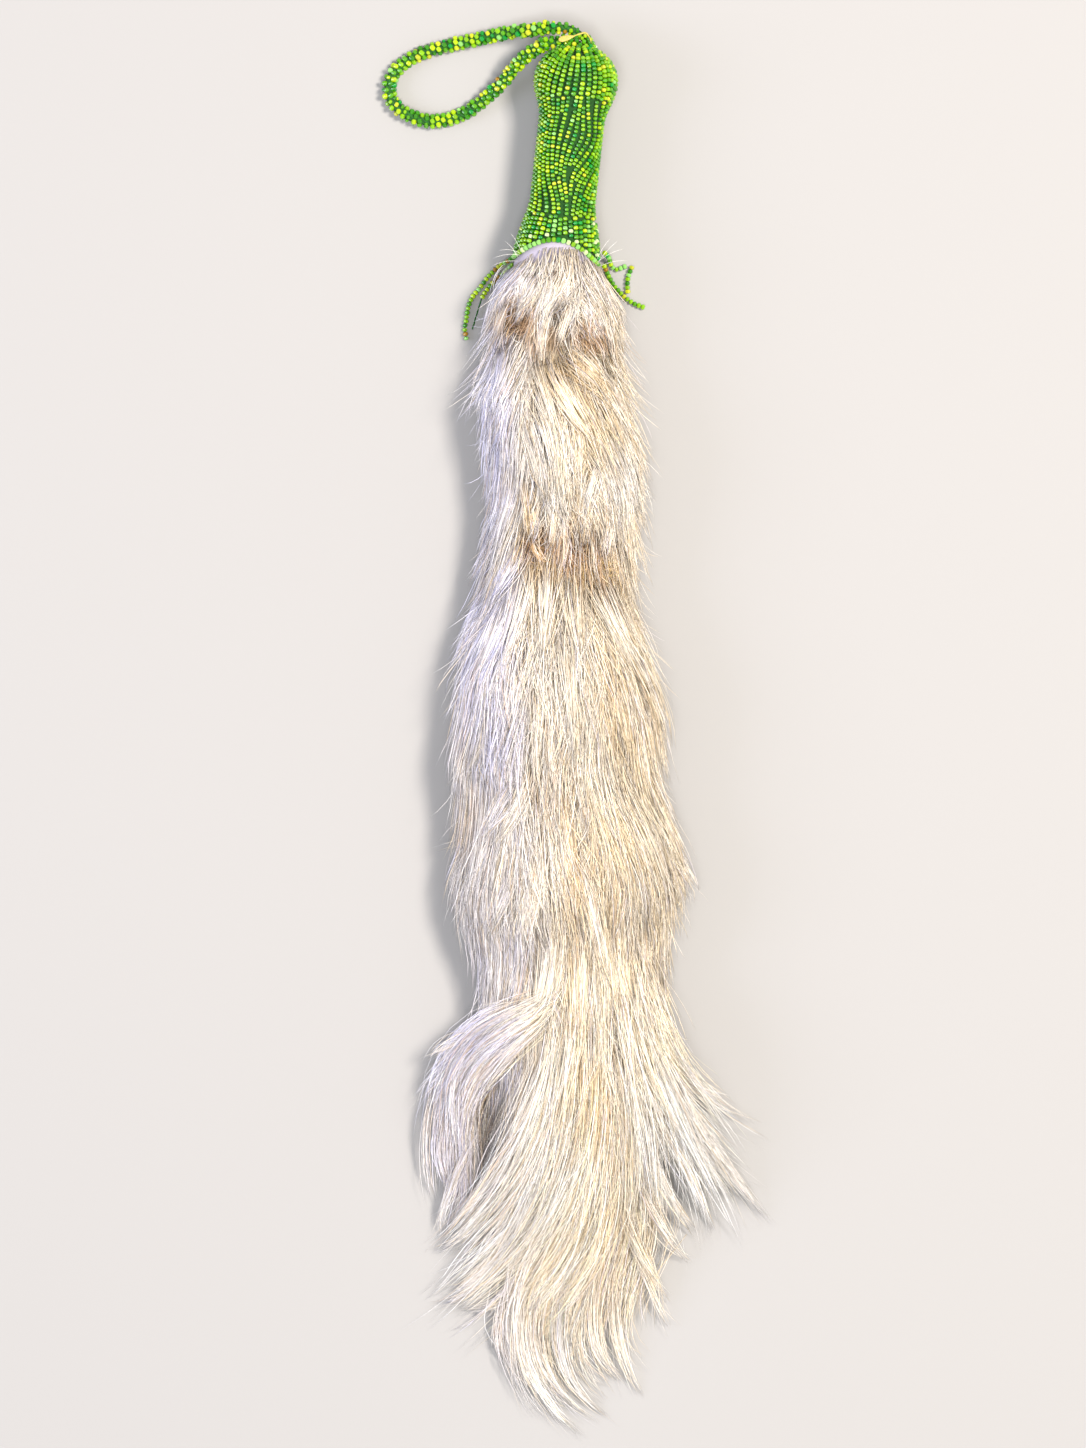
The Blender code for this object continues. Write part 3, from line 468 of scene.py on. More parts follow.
glass_shader = add_node(
    bead_glass, "ShaderNodeBsdfPrincipled", {"Roughness": 0.24, "IOR": 1.52, "Specular IOR Level": 0.8},
    {"Base Color": glass_shade.outputs[0]},
)
add_node(bead_glass, "ShaderNodeOutputMaterial", links={"Surface": glass_shader.outputs[0]})


def string_beads(strings, mix, bead_size, seed):
    """The beads of some strings, each with its hole along its own string, from a bead's usual radius and
    length."""
    chance = np.random.default_rng(seed)
    radius, length = bead_size
    beads = []
    for string in strings:
        centres = [handle @ bead_centre(*bead) for bead in string]
        colours = pick_colours(chance, mix, len(string))
        for i, centre in enumerate(centres):
            axis = (centres[min(i + 1, len(string) - 1)] - centres[max(i - 1, 0)]).normalized()
            size = chance.uniform(0.92, 1.07)
            beads.append((centre, axis, radius * size, length * size, colours[i]))
    return beads


# The spacing is from string to string and the pitch from bead to bead, a bead is its radius and its
# length, and the strings start evenly round the handle at one way along it
KNOB_START = 83.0 * MM
KNOB_SPACING = 3.3 * MM
KNOB_PITCH = 2.5 * MM
KNOB_BEAD = (1.34 * MM, 2.15 * MM)
KNOB_SEED_WAY = 99 * MM
KNOB_STRINGS = 40
GRIP_START = 24.0 * MM
GRIP_SPACING = 2.95 * MM
GRIP_PITCH = 2.1 * MM
GRIP_BEAD = (1.12 * MM, 1.8 * MM)
GRIP_SEED_WAY = 52 * MM
GRIP_STRINGS = 37
SKIRT_START = 2.0 * MM
SKIRT_SPACING = 3.1 * MM
SKIRT_PITCH = 2.4 * MM
SKIRT_BEAD = (1.28 * MM, 2.05 * MM)
SKIRT_SEED_START = 3 * MM
SKIRT_SEED_WAY = 17 * MM
SKIRT_STRINGS = 42
RIM_PITCH = 2.9 * MM
RIM_BEAD = (1.5 * MM, 2.5 * MM)
RIM_LIFT = 0.6 * MM
CROWN_END = CROWN_WAY - 1.5 * MM
OVERLAP = 5.0 * MM

knob_strings = lay_strings(
    KNOB_START, CROWN_END, KNOB_SPACING, KNOB_PITCH, knob_lean,
    string_seeds(KNOB_SEED_WAY, KNOB_START, CROWN_END, KNOB_STRINGS, 11),
)
knob_beads = bead_mesh("knob_beads", string_beads(knob_strings, KNOB_MIX, KNOB_BEAD, 12), bead_glass)
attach(knob_beads, "handle")
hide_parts("knob_beadwork")

grip_strings = lay_strings(
    GRIP_START, KNOB_START + OVERLAP, GRIP_SPACING, GRIP_PITCH, string_lean,
    string_seeds(GRIP_SEED_WAY, GRIP_START, KNOB_START + OVERLAP, GRIP_STRINGS, 21), beside=knob_strings,
)
grip_beads = bead_mesh("grip_beads", string_beads(grip_strings, GRIP_MIX, GRIP_BEAD, 22), bead_glass)
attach(grip_beads, "handle")
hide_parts("grip_beadwork")

# The skirt's own edge is one string of larger, paler beads along the arch of its rim
rim_string = []
side = 0.0
while side < 2 * math.pi:
    rim_string.append((rim_height(side) + RIM_LIFT, side))
    slope = RIM_ARCH * math.sin(2 * side) / SKIRT_RADIUS
    side += RIM_PITCH / (SKIRT_RADIUS * math.hypot(1, slope))
skirt_strings = lay_strings(
    SKIRT_START, GRIP_START + OVERLAP, SKIRT_SPACING, SKIRT_PITCH, skirt_lean,
    string_seeds(SKIRT_SEED_WAY, SKIRT_SEED_START, GRIP_START + OVERLAP, SKIRT_STRINGS, 31), arch=1.0,
    beside=grip_strings + [rim_string],
)
skirt_beads = bead_mesh(
    "skirt_beads",
    string_beads(skirt_strings, SKIRT_MIX, SKIRT_BEAD, 32)
    + string_beads([rim_string], RIM_MIX, RIM_BEAD, 33),
    bead_glass,
)
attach(skirt_beads, "handle")
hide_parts("skirt_beadwork")


# The wrist loop is a rope of beads, worked round and round over a green cord, which shows dark
# between them. It leaves the crown on its left, lies on the ground in a long drop shape, and comes
# back a little lower on the knob.
ROPE_RADIUS = 4.0 * MM
ROPE_CORE = 4.6 * MM
ROPE_BEADS_ROUND = 5
ROPE_PITCH = 2.95 * MM
CURVE_STEPS = 40
LOOP_STEP = 2 * MM
LOOP_AXIS_OFFSET = 17.8 * MM
LOOP_UPPER_END = 116.0 * MM
LOOP_LOWER_END = 108.0 * MM


def on_handle(side, height, above):
    """A point by its place beside the handle's axis, along it and above it."""
    return handle @ Vector((side, -above, height))


def smooth_route(points, spacing):
    """Points about one spacing apart on a smooth curve through the given ones."""
    points = [Vector(point) for point in points]
    ends = [2 * points[0] - points[1]] + points + [2 * points[-1] - points[-2]]
    fine = []
    for a, b, c, d in zip(ends, ends[1:], ends[2:], ends[3:]):
        for step in range(CURVE_STEPS):
            t = step / CURVE_STEPS
            fine.append(
                0.5 * ((2 * b) + (c - a) * t + (2 * a - 5 * b + 4 * c - d) * t**2
                       + (3 * b - a - 3 * c + d) * t**3)
            )
    fine.append(points[-1])
    lengths = np.concatenate([[0.0], np.cumsum([(end - start).length for start, end in zip(fine, fine[1:])])])
    count = max(2, round(lengths[-1] / spacing))
    route = []
    for way in np.linspace(0, lengths[-1], count + 1):
        i = min(len(fine) - 2, int(np.searchsorted(lengths, way, side="right")) - 1)
        route.append(fine[i].lerp(fine[i + 1], (way - lengths[i]) / (lengths[i + 1] - lengths[i])))
    return route


def route_length(route):
    """The length of a route along its points."""
    return sum((end - start).length for start, end in zip(route, route[1:]))


def cord_curve(name, route, diameter, finish):
    """A round cord along a route, as a curve with one open spline."""
    curve = bpy.data.curves.new(name, "CURVE")
    curve.dimensions = "3D"
    curve.bevel_depth = diameter / 2
    curve.bevel_resolution = 3
    curve.use_fill_caps = True
    spline = curve.splines.new("POLY")
    spline.points.add(len(route) - 1)
    for point, place in zip(spline.points, route):
        point.co = (*place, 1)
    curve.materials.append(finish)
    return link_new_object(name, curve)


# Twisted cotton cord, dyed green: matt, with fine slanting plies about 1.4 mm apart
PLIES_SCALE = 260.0
green_cord = new_material("dyed_green_cord")
cord_place = add_node(green_cord, "ShaderNodeTexCoord")
cord_plies = add_node(
    green_cord, "ShaderNodeTexWave", {"Scale": PLIES_SCALE, "Distortion": 1.5},
    {"Vector": cord_place.outputs["Object"]}, bands_direction="DIAGONAL",
)
cord_colour = add_node(
    green_cord, "ShaderNodeMix", {6: linear("#0A3D04"), 7: linear("#165A0C")},
    {0: cord_plies.outputs[1]}, data_type="RGBA",
)
cord_shader = add_node(
    green_cord, "ShaderNodeBsdfPrincipled", {"Roughness": 0.85}, {"Base Color": cord_colour.outputs[2]},
)
add_node(green_cord, "ShaderNodeOutputMaterial", links={"Surface": cord_shader.outputs[0]})

# The loop's way as the photograph shows it: across and towards the crown from the upper end, and
# the height over the ground, in millimetres
loop_from_upper_end = [
    (-8.0, -1.2, 19.0), (-18.0, -1.7, 13.0), (-31.0, -4.2, 7.5), (-43.0, -6.7, 4.6),
    (-54.0, -9.2, 4.0), (-65.0, -13.2, 4.0), (-73.0, -18.2, 4.0), (-78.0, -25.2, 4.0),
    (-78.5, -32.7, 4.0), (-74.5, -39.2, 4.0), (-67.5, -43.7, 4.0), (-59.0, -45.9, 4.0),
    (-50.0, -45.2, 4.0), (-40.5, -41.7, 4.4), (-32.0, -35.9, 5.8), (-24.0, -28.8, 8.5),
    (-17.5, -21.6, 12.0), (-10.8, -14.6, 17.0),
]
loop_upper = on_handle(-LOOP_AXIS_OFFSET, LOOP_UPPER_END, 0)
loop_lower = on_handle(-LOOP_AXIS_OFFSET, LOOP_LOWER_END, 0)
loop_points = [
    Vector((loop_upper.x + x * MM, loop_upper.y + y * MM, z * MM)) for x, y, z in loop_from_upper_end
]
loop_line = smooth_route([loop_upper] + loop_points + [loop_lower], LOOP_STEP)

# The rope's beads are of uneven size, most of them about 1.5 mm in radius. Each leans with the winding,
# and the rounds have a slow twist along the rope, in radians from one to the next.
ROPE_BEAD = 1.5 * MM
ROPE_BEAD_LENGTH = 1.65
ROPE_BEAD_SIZES = (0.72, 0.92, 1.0, 1.1)
ROPE_BEAD_SHARES = (0.2, 0.25, 0.35, 0.2)
ROPE_BEAD_DEPTH = 0.95
ROPE_BEAD_LEAN = 0.5
ROPE_TWIST = 0.035


def rope_beads(line, radius_start, radius_end, seed):
    """Rounds of beads over a cord, each round shifted by half a bead against the one before."""
    chance = np.random.default_rng(seed)
    spots = smooth_route(line, ROPE_PITCH)
    colours = pick_colours(chance, ROPE_MIX, len(spots) * ROPE_BEADS_ROUND)
    beads = []
    up = Vector((0, 0, 1))
    for i, centre in enumerate(spots):
        along = (spots[min(i + 1, len(spots) - 1)] - spots[max(i - 1, 0)]).normalized()
        up = (up - along * up.dot(along)).normalized()
        across = along.cross(up)
        share = i / (len(spots) - 1)
        rope = radius_start + (radius_end - radius_start) * share
        size = ROPE_BEAD * rope / ROPE_RADIUS
        for j in range(ROPE_BEADS_ROUND):
            angle = 2 * math.pi * (j + 0.5 * (i % 2)) / ROPE_BEADS_ROUND + ROPE_TWIST * i
            angle += chance.uniform(-0.12, 0.12)
            out = across * math.cos(angle) + up * math.sin(angle)
            grown = size * chance.choice(ROPE_BEAD_SIZES, p=ROPE_BEAD_SHARES)
            place = centre + out * (rope - size * ROPE_BEAD_DEPTH) + along * chance.uniform(-0.3, 0.3) * MM
            axis = (along + out.cross(along) * ROPE_BEAD_LEAN).normalized()
            colour = colours[i * ROPE_BEADS_ROUND + j]
            beads.append((place, axis, grown, ROPE_BEAD_LENGTH * grown, colour))
    return beads


loop_cord = cord_curve("loop_cord", loop_line, ROPE_CORE, green_cord)
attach(loop_cord, "wrist_loop")
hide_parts("wrist_loop")
loop_beads = bead_mesh("loop_beads", rope_beads(loop_line, ROPE_RADIUS, ROPE_RADIUS, 41), bead_glass)
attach(loop_beads, "wrist_loop")


# The rope's end climbs over the crown from left to right and is sewn down there, getting thinner. Its
# other end is sewn to the knob's left. Rounds of smaller beads cover the stitches on the crown.
CROWN_STEP = ROPE_RADIUS + 0.6 * MM
SEWN_STEP = 1.4 * MM
SEWN_CORD = 0.8 * ROPE_CORE
# Each round of stitch beads: its height over the crown and its radius, in millimetres, and its beads
STITCH_ROUNDS = [(-1.6, 7.6, 16), (0.2, 6.4, 13), (1.8, 5.2, 11), (3.2, 4.2, 9)]
STITCH_BEAD = 1.25 * MM
STITCH_BEAD_LENGTH = 1.7
crown_top = KNOB_HEIGHT + DOME_HEIGHT
crown_line = smooth_route([
    on_handle(-LOOP_AXIS_OFFSET + 0.8 * MM, LOOP_UPPER_END + 0.2 * MM, 0),
    on_handle(-10.0 * MM, LOOP_UPPER_END + 0.6 * MM, 0),
    on_handle(-4.5 * MM, crown_top + CROWN_STEP + 1.0 * MM, 0),
    on_handle(0.5 * MM, crown_top + CROWN_STEP - 1.6 * MM, 0),
    on_handle(4.0 * MM, crown_top + 0.4 * MM, 0),
    on_handle(6.5 * MM, crown_top - 2.6 * MM, 0),
], SEWN_STEP)
side_line = smooth_route([
    on_handle(-LOOP_AXIS_OFFSET + 0.8 * MM, LOOP_LOWER_END, 0),
    on_handle(-13.0 * MM, LOOP_LOWER_END + 1.0 * MM, 0),
    on_handle(-8.0 * MM, LOOP_LOWER_END + 2.5 * MM, 0),
], SEWN_STEP)
chance = np.random.default_rng(53)
stitch_beads = []
for rise, radius, count in STITCH_ROUNDS:
    colours = pick_colours(chance, SKIRT_MIX, count)
    for i in range(count):
        side = 2 * math.pi * (i + chance.uniform(0, 0.2)) / count + rise
        middle = on_handle(
            radius * MM * math.sin(side), crown_top + rise * MM, radius * MM * math.cos(side),
        )
        around = on_handle(math.cos(side), 0, -math.sin(side)) - on_handle(0, 0, 0)
        grown = STITCH_BEAD * chance.uniform(0.85, 1.1)
        stitch_beads.append((middle, around.normalized(), grown, STITCH_BEAD_LENGTH * grown, colours[i]))
crown_beads = bead_mesh(
    "crown_beads",
    rope_beads(crown_line, ROPE_RADIUS, 0.5 * ROPE_RADIUS, 51)
    + rope_beads(side_line, 0.95 * ROPE_RADIUS, 0.9 * ROPE_RADIUS, 52) + stitch_beads,
    bead_glass,
)
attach(crown_beads, "handle")
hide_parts("crown_rope")
for name, line in (("crown_cord", crown_line), ("side_cord", side_line)):
    sewn_cord = cord_curve(name, line, SEWN_CORD, green_cord)
    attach(sewn_cord, "handle")


# A scrap of leather is caught under the stitches: a leaf shape, broad on the left, with a narrow thong
# that leads on to the right. It is vegetable tanned to a yellowish tan, with a fine grain, a pore to
# about 0.6 mm, and a soft low gloss.
PORES_PER_METRE = 1600.0
tan_leather = new_material("vegetable_tanned_leather")
leather_place = add_node(tan_leather, "ShaderNodeTexCoord")
leather_grain = add_node(
    tan_leather, "ShaderNodeTexVoronoi", {"Scale": PORES_PER_METRE},
    {"Vector": leather_place.outputs["Object"]},
)
leather_colour = add_node(
    tan_leather, "ShaderNodeMix", {6: linear("#BCAE4E"), 7: linear("#9C8A34")},
    {0: leather_grain.outputs[0]}, data_type="RGBA",
)
leather_bump = add_node(
    tan_leather, "ShaderNodeBump", {"Strength": 0.25, "Distance": 0.0002},
    {"Height": leather_grain.outputs[0]},
)
leather_shader = add_node(
    tan_leather, "ShaderNodeBsdfPrincipled", {"Roughness": 0.5},
    {"Base Color": leather_colour.outputs[2], "Normal": leather_bump.outputs[0]},
)
add_node(tan_leather, "ShaderNodeOutputMaterial", links={"Surface": leather_shader.outputs[0]})

SCRAP_HALF_LENGTH = 4.2 * MM
SCRAP_HALF_WIDTH = 2.0 * MM
SCRAP_THICKNESS = 0.8 * MM
SCRAP_TAPER = 0.6
# The scrap's edges are rounded where its faces meet at more than this angle
SHARP_ANGLE = math.radians(57)
SCRAP_EDGE = 0.25 * MM
SCRAP_TILT = math.radians(20)
SCRAP_PLACE = (-7.0 * MM, -4.6 * MM, 111.6 * MM)
bm = bmesh.new()
bmesh.ops.create_circle(bm, cap_ends=True, segments=28, radius=1.0)
for vert in bm.verts:
    taper = 1 - SCRAP_TAPER * (vert.co.x + 1) / 2
    vert.co = (vert.co.x * SCRAP_HALF_LENGTH, 0, vert.co.y * SCRAP_HALF_WIDTH * taper)
raised = bmesh.ops.extrude_face_region(bm, geom=bm.faces[:])["geom"]
raised_verts = [part for part in raised if isinstance(part, bmesh.types.BMVert)]
bmesh.ops.translate(bm, vec=(0, -SCRAP_THICKNESS, 0), verts=raised_verts)
sharp_edges = [
    edge for edge in bm.edges if len(edge.link_faces) == 2 and edge.calc_face_angle(0) > SHARP_ANGLE
]
bmesh.ops.bevel(
    bm, geom=sharp_edges, offset=SCRAP_EDGE, segments=2, profile=0.5, affect="EDGES", material=-1,
)
bmesh.ops.recalc_face_normals(bm, faces=bm.faces)
bm.transform(handle @ Matrix.Translation(SCRAP_PLACE) @ Matrix.Rotation(-SCRAP_TILT, 4, "Y"))
leather_scrap = mesh_piece("leather_scrap", bm, tan_leather, smooth_angle=50)
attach(leather_scrap, "handle")
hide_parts("loop_tab")
THONG_WIDTH = 0.9 * MM
THONG_STEP = 0.8 * MM
thong_line = smooth_route([
    on_handle(-3.6 * MM, 112.9 * MM, 5.0 * MM), on_handle(-0.5 * MM, 114.4 * MM, 5.4 * MM),
    on_handle(2.2 * MM, 115.2 * MM, 4.6 * MM), on_handle(4.4 * MM, 113.0 * MM, 3.4 * MM),
    on_handle(5.4 * MM, 110.6 * MM, 2.6 * MM),
], THONG_STEP)
leather_thong = cord_curve("leather_thong", thong_line, THONG_WIDTH, tan_leather)
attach(leather_thong, "handle")


# The fringe is the loose ends of bead strings at the skirt's two corners: two long ones side by side on
# the left, and on the right a short one and a longer one that forks.
THREAD = 0.7 * MM
FRINGE_PITCH = 2.15 * MM
FRINGE_BEAD_RADII = (1.3, 1.5)
FRINGE_BEAD_LENGTH = 1.5
# Each string's way as the photograph shows it: across, towards the crown and the height over the
# ground, in millimetres
FRINGE = {
    "left_outer": [
        (-21.5, 22.6, 11.0), (-25.3, 20.0, 6.2), (-30.5, 16.8, 2.4), (-35.5, 11.8, 1.3),
        (-39.0, 7.0, 1.3), (-43.0, 2.0, 1.3), (-45.0, -3.0, 1.3), (-46.0, -9.0, 1.3),
        (-46.8, -13.5, 1.3), (-46.0, -18.5, 1.3),
    ],
    "left_inner": [
        (-22.8, 18.2, 7.0), (-26.6, 14.6, 3.2), (-31.0, 11.0, 1.5), (-34.8, 7.0, 1.3),
        (-38.0, 2.0, 1.3), (-40.0, -4.0, 1.3), (-41.5, -9.0, 1.3), (-43.0, -14.0, 1.3),
    ],
    "right_upper": [
        (23.4, 24.0, 8.5), (25.6, 21.5, 5.0), (26.5, 18.5, 2.5), (29.0, 16.0, 1.4),
        (33.5, 17.5, 1.3),
    ],
    "right_lower": [
        (23.2, 17.5, 6.5), (25.5, 12.5, 2.6), (28.5, 7.5, 1.3), (33.5, 2.2, 1.3),
        (38.0, -1.0, 1.3), (42.6, -2.8, 1.3),
    ],
    "right_upturned": [
        (35.0, 5.0, 1.3), (34.8, 9.0, 1.3), (35.4, 13.0, 1.3), (37.0, 17.0, 1.3),
    ],
}
# How much of each string still carries its beads
FRINGE_BEADED = {
    "left_outer": 1.0, "left_inner": 0.6, "right_upper": 1.0, "right_lower": 1.0, "right_upturned": 1.0,
}

fringe_pieces = {}
for number, (name, points) in enumerate(FRINGE.items()):
    chance = np.random.default_rng(60 + number)
    route = smooth_route([Vector(point) * MM for point in points], FRINGE_PITCH / 3)
    thread = cord_curve("fringe_thread_" + name, route, THREAD, green_cord)
    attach(thread, "handle")
    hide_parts("fringe_" + name)
    spots = smooth_route([Vector(point) * MM for point in points], FRINGE_PITCH)
    spots = spots[:max(2, round(len(spots) * FRINGE_BEADED[name]))]
    colours = pick_colours(chance, FRINGE_MIX, len(spots))
    beads = []
    for i, spot in enumerate(spots):
        axis = (spots[min(i + 1, len(spots) - 1)] - spots[max(i - 1, 0)]).normalized()
        size = chance.uniform(*FRINGE_BEAD_RADII) * MM
        place = Vector((spot.x, spot.y, max(size, spot.z)))
        beads.append((place, axis, size, FRINGE_BEAD_LENGTH * size, colours[i]))
    strung = bead_mesh("fringe_beads_" + name, beads, bead_glass)
    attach(strung, "handle")
    fringe_pieces[name] = (thread, strung, route)

# The two short strings on the right are at the same corner as the long one
with_the_cord = {
    "left_outer": [], "left_inner": [],
    "right_lower": [piece for name in ("right_upper", "right_upturned") for piece in fringe_pieces[name][:2]],
}
for name, others in with_the_cord.items():
    thread, strung, route = fringe_pieces[name]


# The tail's skin is raw hide, dried hard and pale, with a mottle of patches about 6 mm wide. It shows
# only as a smooth edge along the arch of the skirt, where no hair grows, and lies hidden in the hair
# from there down.
MOTTLES_PER_METRE = 160.0
raw_hide = new_material("dried_raw_hide")
hide_place = add_node(raw_hide, "ShaderNodeTexCoord")
hide_mottle = add_node(
    raw_hide, "ShaderNodeTexNoise", {"Scale": MOTTLES_PER_METRE, "Detail": 5.0},
    {"Vector": hide_place.outputs["Object"]},
)
hide_colour = add_node(
    raw_hide, "ShaderNodeMix", {6: linear("#A9A2B2"), 7: linear("#8F8690")},
    {0: hide_mottle.outputs[0]}, data_type="RGBA",
)
hide_bump = add_node(
    raw_hide, "ShaderNodeBump", {"Strength": 0.3, "Distance": 0.0004}, {"Height": hide_mottle.outputs[0]},
)
hide_shader = add_node(
    raw_hide, "ShaderNodeBsdfPrincipled", {"Roughness": 0.55},
    {"Base Color": hide_colour.outputs[2], "Normal": hide_bump.outputs[0]},
)
add_node(raw_hide, "ShaderNodeOutputMaterial", links={"Surface": hide_shader.outputs[0]})
for node in ("tail_skin_upper", "tail_skin_lower"):
    dress(node, raw_hide)

COLLAR_POINTS = 72
COLLAR_THICKNESS = 1.2 * MM
# Each row is a height below the arch of the rim and how far the collar lies inside the beads' outer
# surface there, in millimetres
COLLAR_ROWS = [(-6.0, 4.2), (-1.0, 3.6), (1.2, 1.9), (3.4, 1.4), (6.0, 2.2), (11.0, 5.5)]
bm = bmesh.new()
collar_rings = []
for below, inset in COLLAR_ROWS:
    ring = bmesh.ops.create_circle(bm, segments=COLLAR_POINTS, radius=1.0)["verts"]
    for vert in ring:
        side = math.atan2(vert.co.x, -vert.co.y)
        height = rim_height(side) - below * MM
        radius = handle_radius(max(0.0, height)) - inset * MM
        vert.co = (radius * math.sin(side), -radius * math.cos(side), height)
    collar_rings.append(list({edge for vert in ring for edge in vert.link_edges}))
for upper, lower in zip(collar_rings, collar_rings[1:]):
    bmesh.ops.bridge_loops(bm, edges=upper + lower)
bmesh.ops.recalc_face_normals(bm, faces=bm.faces)
bmesh.ops.solidify(bm, geom=bm.faces[:], thickness=COLLAR_THICKNESS)
bm.transform(handle)
hide_collar = mesh_piece("hide_collar", bm, raw_hide, smooth_angle=60)
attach(hide_collar, "handle")
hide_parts("hide_sleeve")

# Waxed linen thread: tan and matt, with flecks of about 1.4 mm, laid in close turns
FLECKS_PER_METRE = 700.0
waxed_thread = new_material("waxed_linen_thread")
linen_place = add_node(waxed_thread, "ShaderNodeTexCoord")
linen_plies = add_node(
    waxed_thread, "ShaderNodeTexNoise", {"Scale": FLECKS_PER_METRE},
    {"Vector": linen_place.outputs["Object"]},
)
linen_colour = add_node(
    waxed_thread, "ShaderNodeMix", {6: linear("#B79C6C"), 7: linear("#96794A")},
    {0: linen_plies.outputs[0]}, data_type="RGBA",
)
linen_shader = add_node(
    waxed_thread, "ShaderNodeBsdfPrincipled", {"Roughness": 0.7}, {"Base Color": linen_colour.outputs[2]},
)
add_node(waxed_thread, "ShaderNodeOutputMaterial", links={"Surface": linen_shader.outputs[0]})
dress("hide_binding", waxed_thread)


# The hair as a whole: how wide and how high it lies at each reach. Its outline follows the
# photograph's. It is flat on the ground and rounded above.
# Each row is a reach, the widths to the left and right of the tail's axis, and a height, in millimetres.
HAIR_BODY = np.array([
    (-30, 23, 22, 47), (-18, 24, 23, 47), (-8, 29, 25, 47), (5, 32, 28, 46), (18, 33, 29, 44),
    (30, 34, 30, 45), (50, 38, 33, 50), (62, 36, 36, 50), (80, 33, 38, 49), (100, 31, 39, 49),
    (118, 33, 37, 46), (135, 35, 36, 45), (150, 37, 37, 47), (170, 42, 41, 50), (190, 46, 45, 51),
    (210, 45, 48, 51), (236, 47, 47, 51), (250, 45, 49, 50), (270, 44, 54, 50), (296, 46, 58, 48),
    (312, 44, 55, 46), (330, 37, 50, 42), (345, 35, 49, 40), (360, 34, 47, 38), (380, 30, 45, 35),
    (400, 28, 44, 32), (430, 26, 42, 26), (455, 25, 40, 20), (475, 25, 38, 15), (490, 25, 36, 11),
    (540, 20, 30, 7),
], float) * MM
BODY_CENTRE_SHARE = 0.42


def body_section(reach):
    """Middle, half width, centre height and half height of the hair at a reach."""
    left, right, height = (np.interp(reach, HAIR_BODY[:, 0], HAIR_BODY[:, i]) for i in (1, 2, 3))
    centre = height * BODY_CENTRE_SHARE
    return (right - left) / 2, (right + left) / 2, centre, height - centre


def in_body(reach, across, up):
    """World points from a reach and shares of the section's half width and half height."""
    middle, half_width, centre, half_height = body_section(reach)
    z = centre + up * np.where(up > 0, half_height, centre)
    return np.stack([middle + across * half_width, -reach, z], axis=-1)


# The hair's colours: cool white to lilac down the left, cream and straw in the middle and on the right,
# with tan under-hair where a crease opens the coat. The lilac down the left is partly the hair's own
# and partly painted shade of the cool fill light, the straw on the right partly painted light of the
# warm key; the brown in the creases and hollows is painted shade.
HAIR_TINTS = {
    "white": "#FAF6F1", "cream": "#F6EAD5", "straw": "#EFDAB4", "gold": "#E6C48B", "tan": "#C9A27A",
    "lilac": "#DCDAF2", "grey": "#CBC3BF", "brown": "#6E5337",
}
# Each patch is a place and a size in millimetres (across, reach, half width, half length), the tint
# of the hair there and how strongly it shows. The brown patches, in the partings, the crease and the
# hollow under the hook, and the grey ones beside the crease and at reach 318, are painted shade.
TINT_PATCHES = [
    (-34, 60, 14, 70, "lilac", 0.9), (-36, 150, 18, 50, "lilac", 1.0), (-38, 250, 18, 50, "grey", 0.6),
    (-27, -14, 10, 12, "lilac", 0.9), (24, -8, 8, 14, "grey", 0.4), (0, 0, 24, 20, "grey", 0.45),
    (-21, 9, 14, 12, "tan", 1.0), (-22, 12, 6, 5, "brown", 0.5), (1, 6, 5, 8, "brown", 0.7),
    (16, 18, 13, 10, "tan", 1.0), (-8, 20, 12, 8, "tan", 0.8), (4, 40, 17, 16, "gold", 0.7),
    (17, 60, 14, 26, "straw", 0.9), (-14, 105, 4, 22, "gold", 1.0), (30, 84, 12, 16, "white", 0.9),
    (-14, 85, 14, 22, "grey", 0.5), (8, 100, 5, 12, "gold", 0.5),
    (2, 124, 30, 17, "tan", 1.0), (15, 119, 11, 9, "brown", 0.7), (-9, 119, 8, 6, "brown", 0.5),
    (-6, 136, 12, 8, "gold", 1.0), (20, 138, 15, 9, "gold", 1.0), (-28, 121, 9, 10, "grey", 0.9),
    (-4, 156, 14, 20, "cream", 0.9), (26, 160, 10, 20, "cream", 0.5), (25, 186, 9, 20, "gold", 0.7),
    (-26, 210, 12, 16, "lilac", 0.9), (-4, 242, 16, 12, "tan", 0.6), (-40, 242, 10, 9, "tan", 0.5),
    (34, 205, 14, 40, "straw", 0.8), (8, 225, 16, 24, "cream", 0.6), (22, 265, 18, 30, "straw", 0.9),
    (6, 285, 7, 30, "gold", 0.6), (-14, 318, 14, 24, "grey", 0.7), (26, 330, 12, 30, "straw", 0.8),
    (6, 350, 8, 24, "gold", 0.4), (14, 395, 14, 26, "straw", 0.8), (-40, 365, 30, 16, "lilac", 1.0),
    (-56, 410, 14, 40, "lilac", 0.6), (-34, 400, 8, 18, "brown", 0.7), (20, 400, 9, 20, "gold", 0.6),
    (64, 412, 30, 40, "white", 1.0), (-44, 470, 28, 26, "white", 0.8), (16, 462, 26, 18, "straw", 0.7),
    (4, 540, 34, 34, "white", 0.8), (-6, 430, 26, 24, "white", 0.5),
]
PATCH_PLACES = np.array([patch[:4] for patch in TINT_PATCHES], float) * MM
PATCH_TINTS = np.array([linear(HAIR_TINTS[patch[4]])[:3] for patch in TINT_PATCHES])
PATCH_STRENGTHS = np.array([patch[5] for patch in TINT_PATCHES])


def smooth_step(low, high, value):
    """A share that goes smoothly from 0 at the low value to 1 at the high one."""
    share = np.clip((value - low) / (high - low), 0, 1)
    return share * share * (3 - 2 * share)


